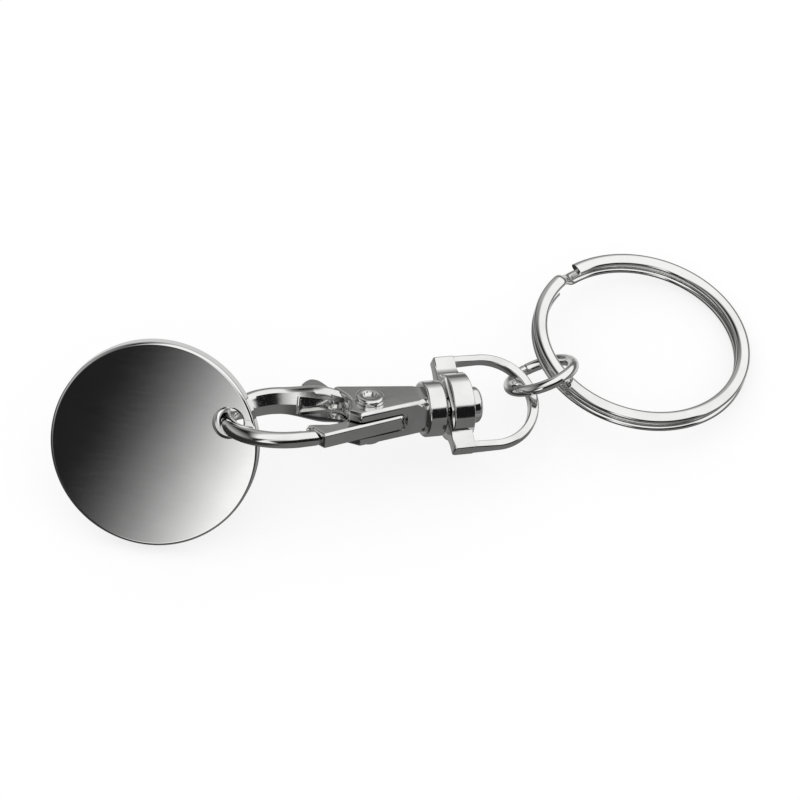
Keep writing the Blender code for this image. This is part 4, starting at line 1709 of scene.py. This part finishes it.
@dataclass(frozen=True)
class Card:
    """One soft-edged card or flag of the light tent, seen only in reflections.

    Args:
        level: Its brightness, where 1 is white.
        edges: Each edge's inward direction, and the angles past it, in degrees, at which the card
            starts to show and has its full strength.
        fade: The power that shapes the fade from the edges.
    """

    level: float
    edges: tuple[tuple[Triple, float, float], ...]
    fade: float = 2.2

    @classmethod
    def around(
        cls, level: float, azimuth: float, elevation: float, half: Pair, soft: float,
    ) -> "Card":
        """Make a rectangular card.

        Args:
            level: Its brightness.
            azimuth: The direction of its middle, in degrees from the front towards the right.
            elevation: The height of its middle, in degrees.
            half: Its half width and half height, in degrees.
            soft: The width of its soft edge, in degrees.

        Returns:
            The card.
        """
        side, lift = math.radians(azimuth), math.radians(elevation)
        flat = math.cos(lift)
        middle = Vector((math.sin(side) * flat, -math.cos(side) * flat, math.sin(lift)))
        across = Vector((math.cos(side), math.sin(side), 0))
        upward = middle.cross(across) * -1
        edges = [(tuple(middle), 0.0, 1.0)]
        for axis, reach in ((across, half[0]), (upward, half[1])):
            for sign in (1, -1):
                edges.append((tuple(axis * sign), -reach - soft / 2, -reach + soft / 2))
        return cls(level, tuple(edges), 1.0)

    def paint(
        self, tree: bpy.types.NodeTree, direction: bpy.types.NodeSocket,
        under: bpy.types.NodeSocket | float,
    ) -> bpy.types.NodeSocket:
        """Paint the card over what is already there.

        Args:
            tree: The tent's node tree.
            direction: The direction looked in.
            under: The brightness under the card, painted or plain.

        Returns:
            The brightness with the card.
        """
        nodes, links = tree.nodes, tree.links
        mask = None
        for vector, start, full in self.edges:
            past = nodes.new("ShaderNodeVectorMath")
            past.operation = "DOT_PRODUCT"
            past.inputs[1].default_value = Vector(vector).normalized()
            links.new(direction, past.inputs[0])
            ramp = nodes.new("ShaderNodeMapRange")
            ramp.inputs["From Min"].default_value = math.sin(math.radians(start))
            ramp.inputs["From Max"].default_value = math.sin(math.radians(full))
            links.new(past.outputs["Value"], ramp.inputs["Value"])
            if mask is None:
                mask = ramp.outputs["Result"]
                continue
            both = nodes.new("ShaderNodeMath")
            both.operation = "MULTIPLY"
            links.new(mask, both.inputs[0])
            links.new(ramp.outputs["Result"], both.inputs[1])
            mask = both.outputs[0]
        shaped = nodes.new("ShaderNodeMath")
        shaped.operation = "POWER"
        shaped.inputs[1].default_value = self.fade
        links.new(mask, shaped.inputs[0])
        mix = nodes.new("ShaderNodeMix")
        mix.data_type = "FLOAT"
        mix.inputs["B"].default_value = self.level
        links.new(shaped.outputs[0], mix.inputs["Factor"])
        if isinstance(under, float):
            mix.inputs["A"].default_value = under
        else:
            links.new(under, mix.inputs["A"])
        return mix.outputs["Result"]


# High on the left, behind, on the right, in front, a black flag on the front right, and then
# painted shade below the horizon, which the metal reflects in place of the pale floor: grey,
# paler on the far side and darkest on the near left
TENT = (
    Card(0.5, (((-1, 0, 0), 24.0, 62.0), ((0, 0, 1), 8.0, 22.0)), 1.0),
    Card(0.38, (((0, 1, 0), 36.0, 60.0), ((1, 0, 0), -42.0, -18.0)), 1.0),
    Card(0.96, (
        ((0.94, -0.3, 0.22), -9.0, 4.0), ((0, 1, 0), -44.0, -30.0), ((0, 0, 1), 4.0, 13.0),
    ), 1.4),
    Card(1.0, (((0.90, -0.30, -0.30), -9.7, -4.1), ((0, -1, 0), 28.0, 46.0)), 2.3),
    Card.around(0.010, 36.0, 24.0, (32.0, 20.0), 5.0),
    # From here on: painted shade for the floor as the metal reflects it, darker than the floor
    # itself
    Card(0.15, (((0, 0, -1), -9.0, -3.0),), 1.0),
    Card(0.62, (
        ((0.25, 0.95, -0.1), 14.0, 34.0), ((0, 0, -1), 12.0, 24.0), ((0, 0, 1), -56.0, -46.0),
    ), 1.0),
    Card(0.03, (
        ((-0.8, -0.6, 0.0), 24.0, 44.0), ((0, 0, -1), -10.0, -2.0), ((0, 0, 1), -68.0, -48.0),
    ), 1.0),
)


@dataclass(frozen=True)
class Studio:
    """A plain pale floor, an even soft light, a light tent for the reflections, and the camera.

    Args:
        elevation: The camera's height above the horizon, in degrees.
        distance: How far it stands from what it looks at, in metres.
        field: The width of the view at that distance, in metres.
        aim: Where the view's middle lies from the clasp's frame, in the camera's axes, in metres.
        cards: What the tent shows in reflections, each over the ones before it.
        dark: The tent's brightness where there is no card.
        tent_radius: The tent's radius in metres.
        floor: The floor's colour.
        backdrop: How much of the floor's white is the backdrop's own, as the camera sees it.
        floor_drop: How far the floor lies under the keyring, in metres.
        lamp: The overhead lamp's power in watts, its size and height in metres.
    """

    elevation: float = 55.13
    distance: float = 0.6
    field: float = 0.0886
    aim: Triple = (-0.004472, 0.000855, 0.00586)
    cards: tuple[Card, ...] = TENT
    dark: float = 0.014
    tent_radius: float = 2.5
    floor: Colour = (0.96, 0.96, 0.96)
    backdrop: float = 0.75
    floor_drop: float = 0.0001
    lamp: Triple = (2.2, 1.2, 1.4)

    def camera(self) -> None:
        """Stand the camera at the photograph's angle."""
        lift = math.radians(self.elevation)
        across = Vector((1, 0, 0))
        up = Vector((0, math.sin(lift), math.cos(lift)))
        back = Vector((0, -math.cos(lift), math.sin(lift)))
        middle = joint_place("eye_swivel")
        middle = middle + across * self.aim[0] + up * self.aim[1] + back * self.aim[2]
        lens = bpy.data.cameras.new("portrait")
        lens.sensor_width = 36.0
        lens.lens = lens.sensor_width * self.distance / self.field
        lens.clip_start = 0.01
        eye = bpy.data.objects.new("portrait", lens)
        eye.location = middle + back * self.distance
        eye.rotation_euler = (math.pi / 2 - lift, 0, 0)
        bpy.context.scene.collection.objects.link(eye)
        bpy.context.scene.camera = eye

    def surroundings(self) -> None:
        """Fill the room with an even white light."""
        world = bpy.data.worlds.new("white_room")
        bpy.context.scene.world = world
        world.use_nodes = True
        world.node_tree.nodes["Background"].inputs["Color"].default_value = (1.0, 1.0, 1.0, 1.0)

    def tent(self) -> None:
        """Raise the light tent, which only the metal's reflections show."""
        bm = bmesh.new()
        bmesh.ops.create_icosphere(bm, subdivisions=4, radius=self.tent_radius)
        tent = bpy.data.objects.new("light_tent", as_mesh(bm, "light_tent"))
        bpy.context.scene.collection.objects.link(tent)
        cloth = bpy.data.materials.new("tent_cloth")
        cloth.use_nodes = True
        tree = cloth.node_tree
        tree.nodes.clear()
        place = tree.nodes.new("ShaderNodeTexCoord")
        direction = tree.nodes.new("ShaderNodeVectorMath")
        direction.operation = "NORMALIZE"
        tree.links.new(place.outputs["Object"], direction.inputs[0])
        painted = self.dark
        for card in self.cards:
            painted = card.paint(tree, direction.outputs["Vector"], painted)
        glow = tree.nodes.new("ShaderNodeEmission")
        tree.links.new(painted, glow.inputs["Color"])
        output = tree.nodes.new("ShaderNodeOutputMaterial")
        tree.links.new(glow.outputs["Emission"], output.inputs["Surface"])
        cloth.cycles.emission_sampling = "NONE"
        tent.data.materials.append(cloth)
        tent.visible_camera = False
        tent.visible_diffuse = False
        tent.visible_transmission = False
        tent.visible_shadow = False

    def ground(self) -> None:
        """Lay the pale floor, which the tent's cloth hides from the metal."""
        bm = bmesh.new()
        bmesh.ops.create_grid(bm, x_segments=2, y_segments=2, size=2.0)
        bmesh.ops.translate(bm, vec=(0, 0, -self.floor_drop), verts=bm.verts)
        sheet = bpy.data.objects.new("pale_floor", as_mesh(bm, "pale_floor"))
        bpy.context.scene.collection.objects.link(sheet)
        paint = bpy.data.materials.new("pale_card")
        paint.use_nodes = True
        shader = paint.node_tree.nodes["Principled BSDF"]
        shader.inputs["Base Color"].default_value = (*self.floor, 1.0)
        shader.inputs["Roughness"].default_value = 1.0
        shader.inputs["Specular IOR Level"].default_value = 0.0
        tree = paint.node_tree
        path = tree.nodes.new("ShaderNodeLightPath")
        share = tree.nodes.new("ShaderNodeMath")
        share.operation = "MULTIPLY"
        share.inputs[1].default_value = self.backdrop
        tree.links.new(path.outputs["Is Camera Ray"], share.inputs[0])
        white = tree.nodes.new("ShaderNodeEmission")
        mix = tree.nodes.new("ShaderNodeMixShader")
        tree.links.new(share.outputs[0], mix.inputs["Fac"])
        tree.links.new(shader.outputs["BSDF"], mix.inputs[1])
        tree.links.new(white.outputs["Emission"], mix.inputs[2])
        tree.links.new(mix.outputs["Shader"], tree.nodes["Material Output"].inputs["Surface"])
        sheet.data.materials.append(paint)
        # The metal reflects the tent's painted shade here, not this pale floor
        sheet.visible_glossy = False

    def light(self) -> None:
        """Hang the soft lamp overhead."""
        power, size, height = self.lamp
        bulb = bpy.data.lights.new("overhead", "AREA")
        bulb.shape = "DISK"
        bulb.size = size
        bulb.energy = power
        lamp = bpy.data.objects.new("overhead", bulb)
        lamp.location = (0, 0, height)
        lamp.visible_glossy = False
        bpy.context.scene.collection.objects.link(lamp)

    def build(self) -> None:
        """Set up the whole studio."""
        self.camera()
        self.surroundings()
        self.tent()
        self.ground()
        self.light()
        bpy.context.scene.view_settings.view_transform = "Standard"


def main() -> None:
    """Build every sub-assembly in order, then the studio."""
    logging.basicConfig(level=logging.INFO, format="%(name)s %(message)s")
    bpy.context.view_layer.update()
    clasp, lever, eye = Clasp(), Lever(), SwivelEye()
    jump, ring = JumpRing(), KeyRing()
    clasp.build(lever.reach + lever.clearance)
    lever.build(clasp)
    LeverRivet().build(clasp)
    LeverSpring().build(clasp)
    SwivelPost().build(clasp)
    eye.build(clasp)
    Token().build(clasp)
    jump.build(clasp, eye)
    ring.build(clasp, eye, jump)
    Studio().build()


if __name__ == "__main__":
    main()
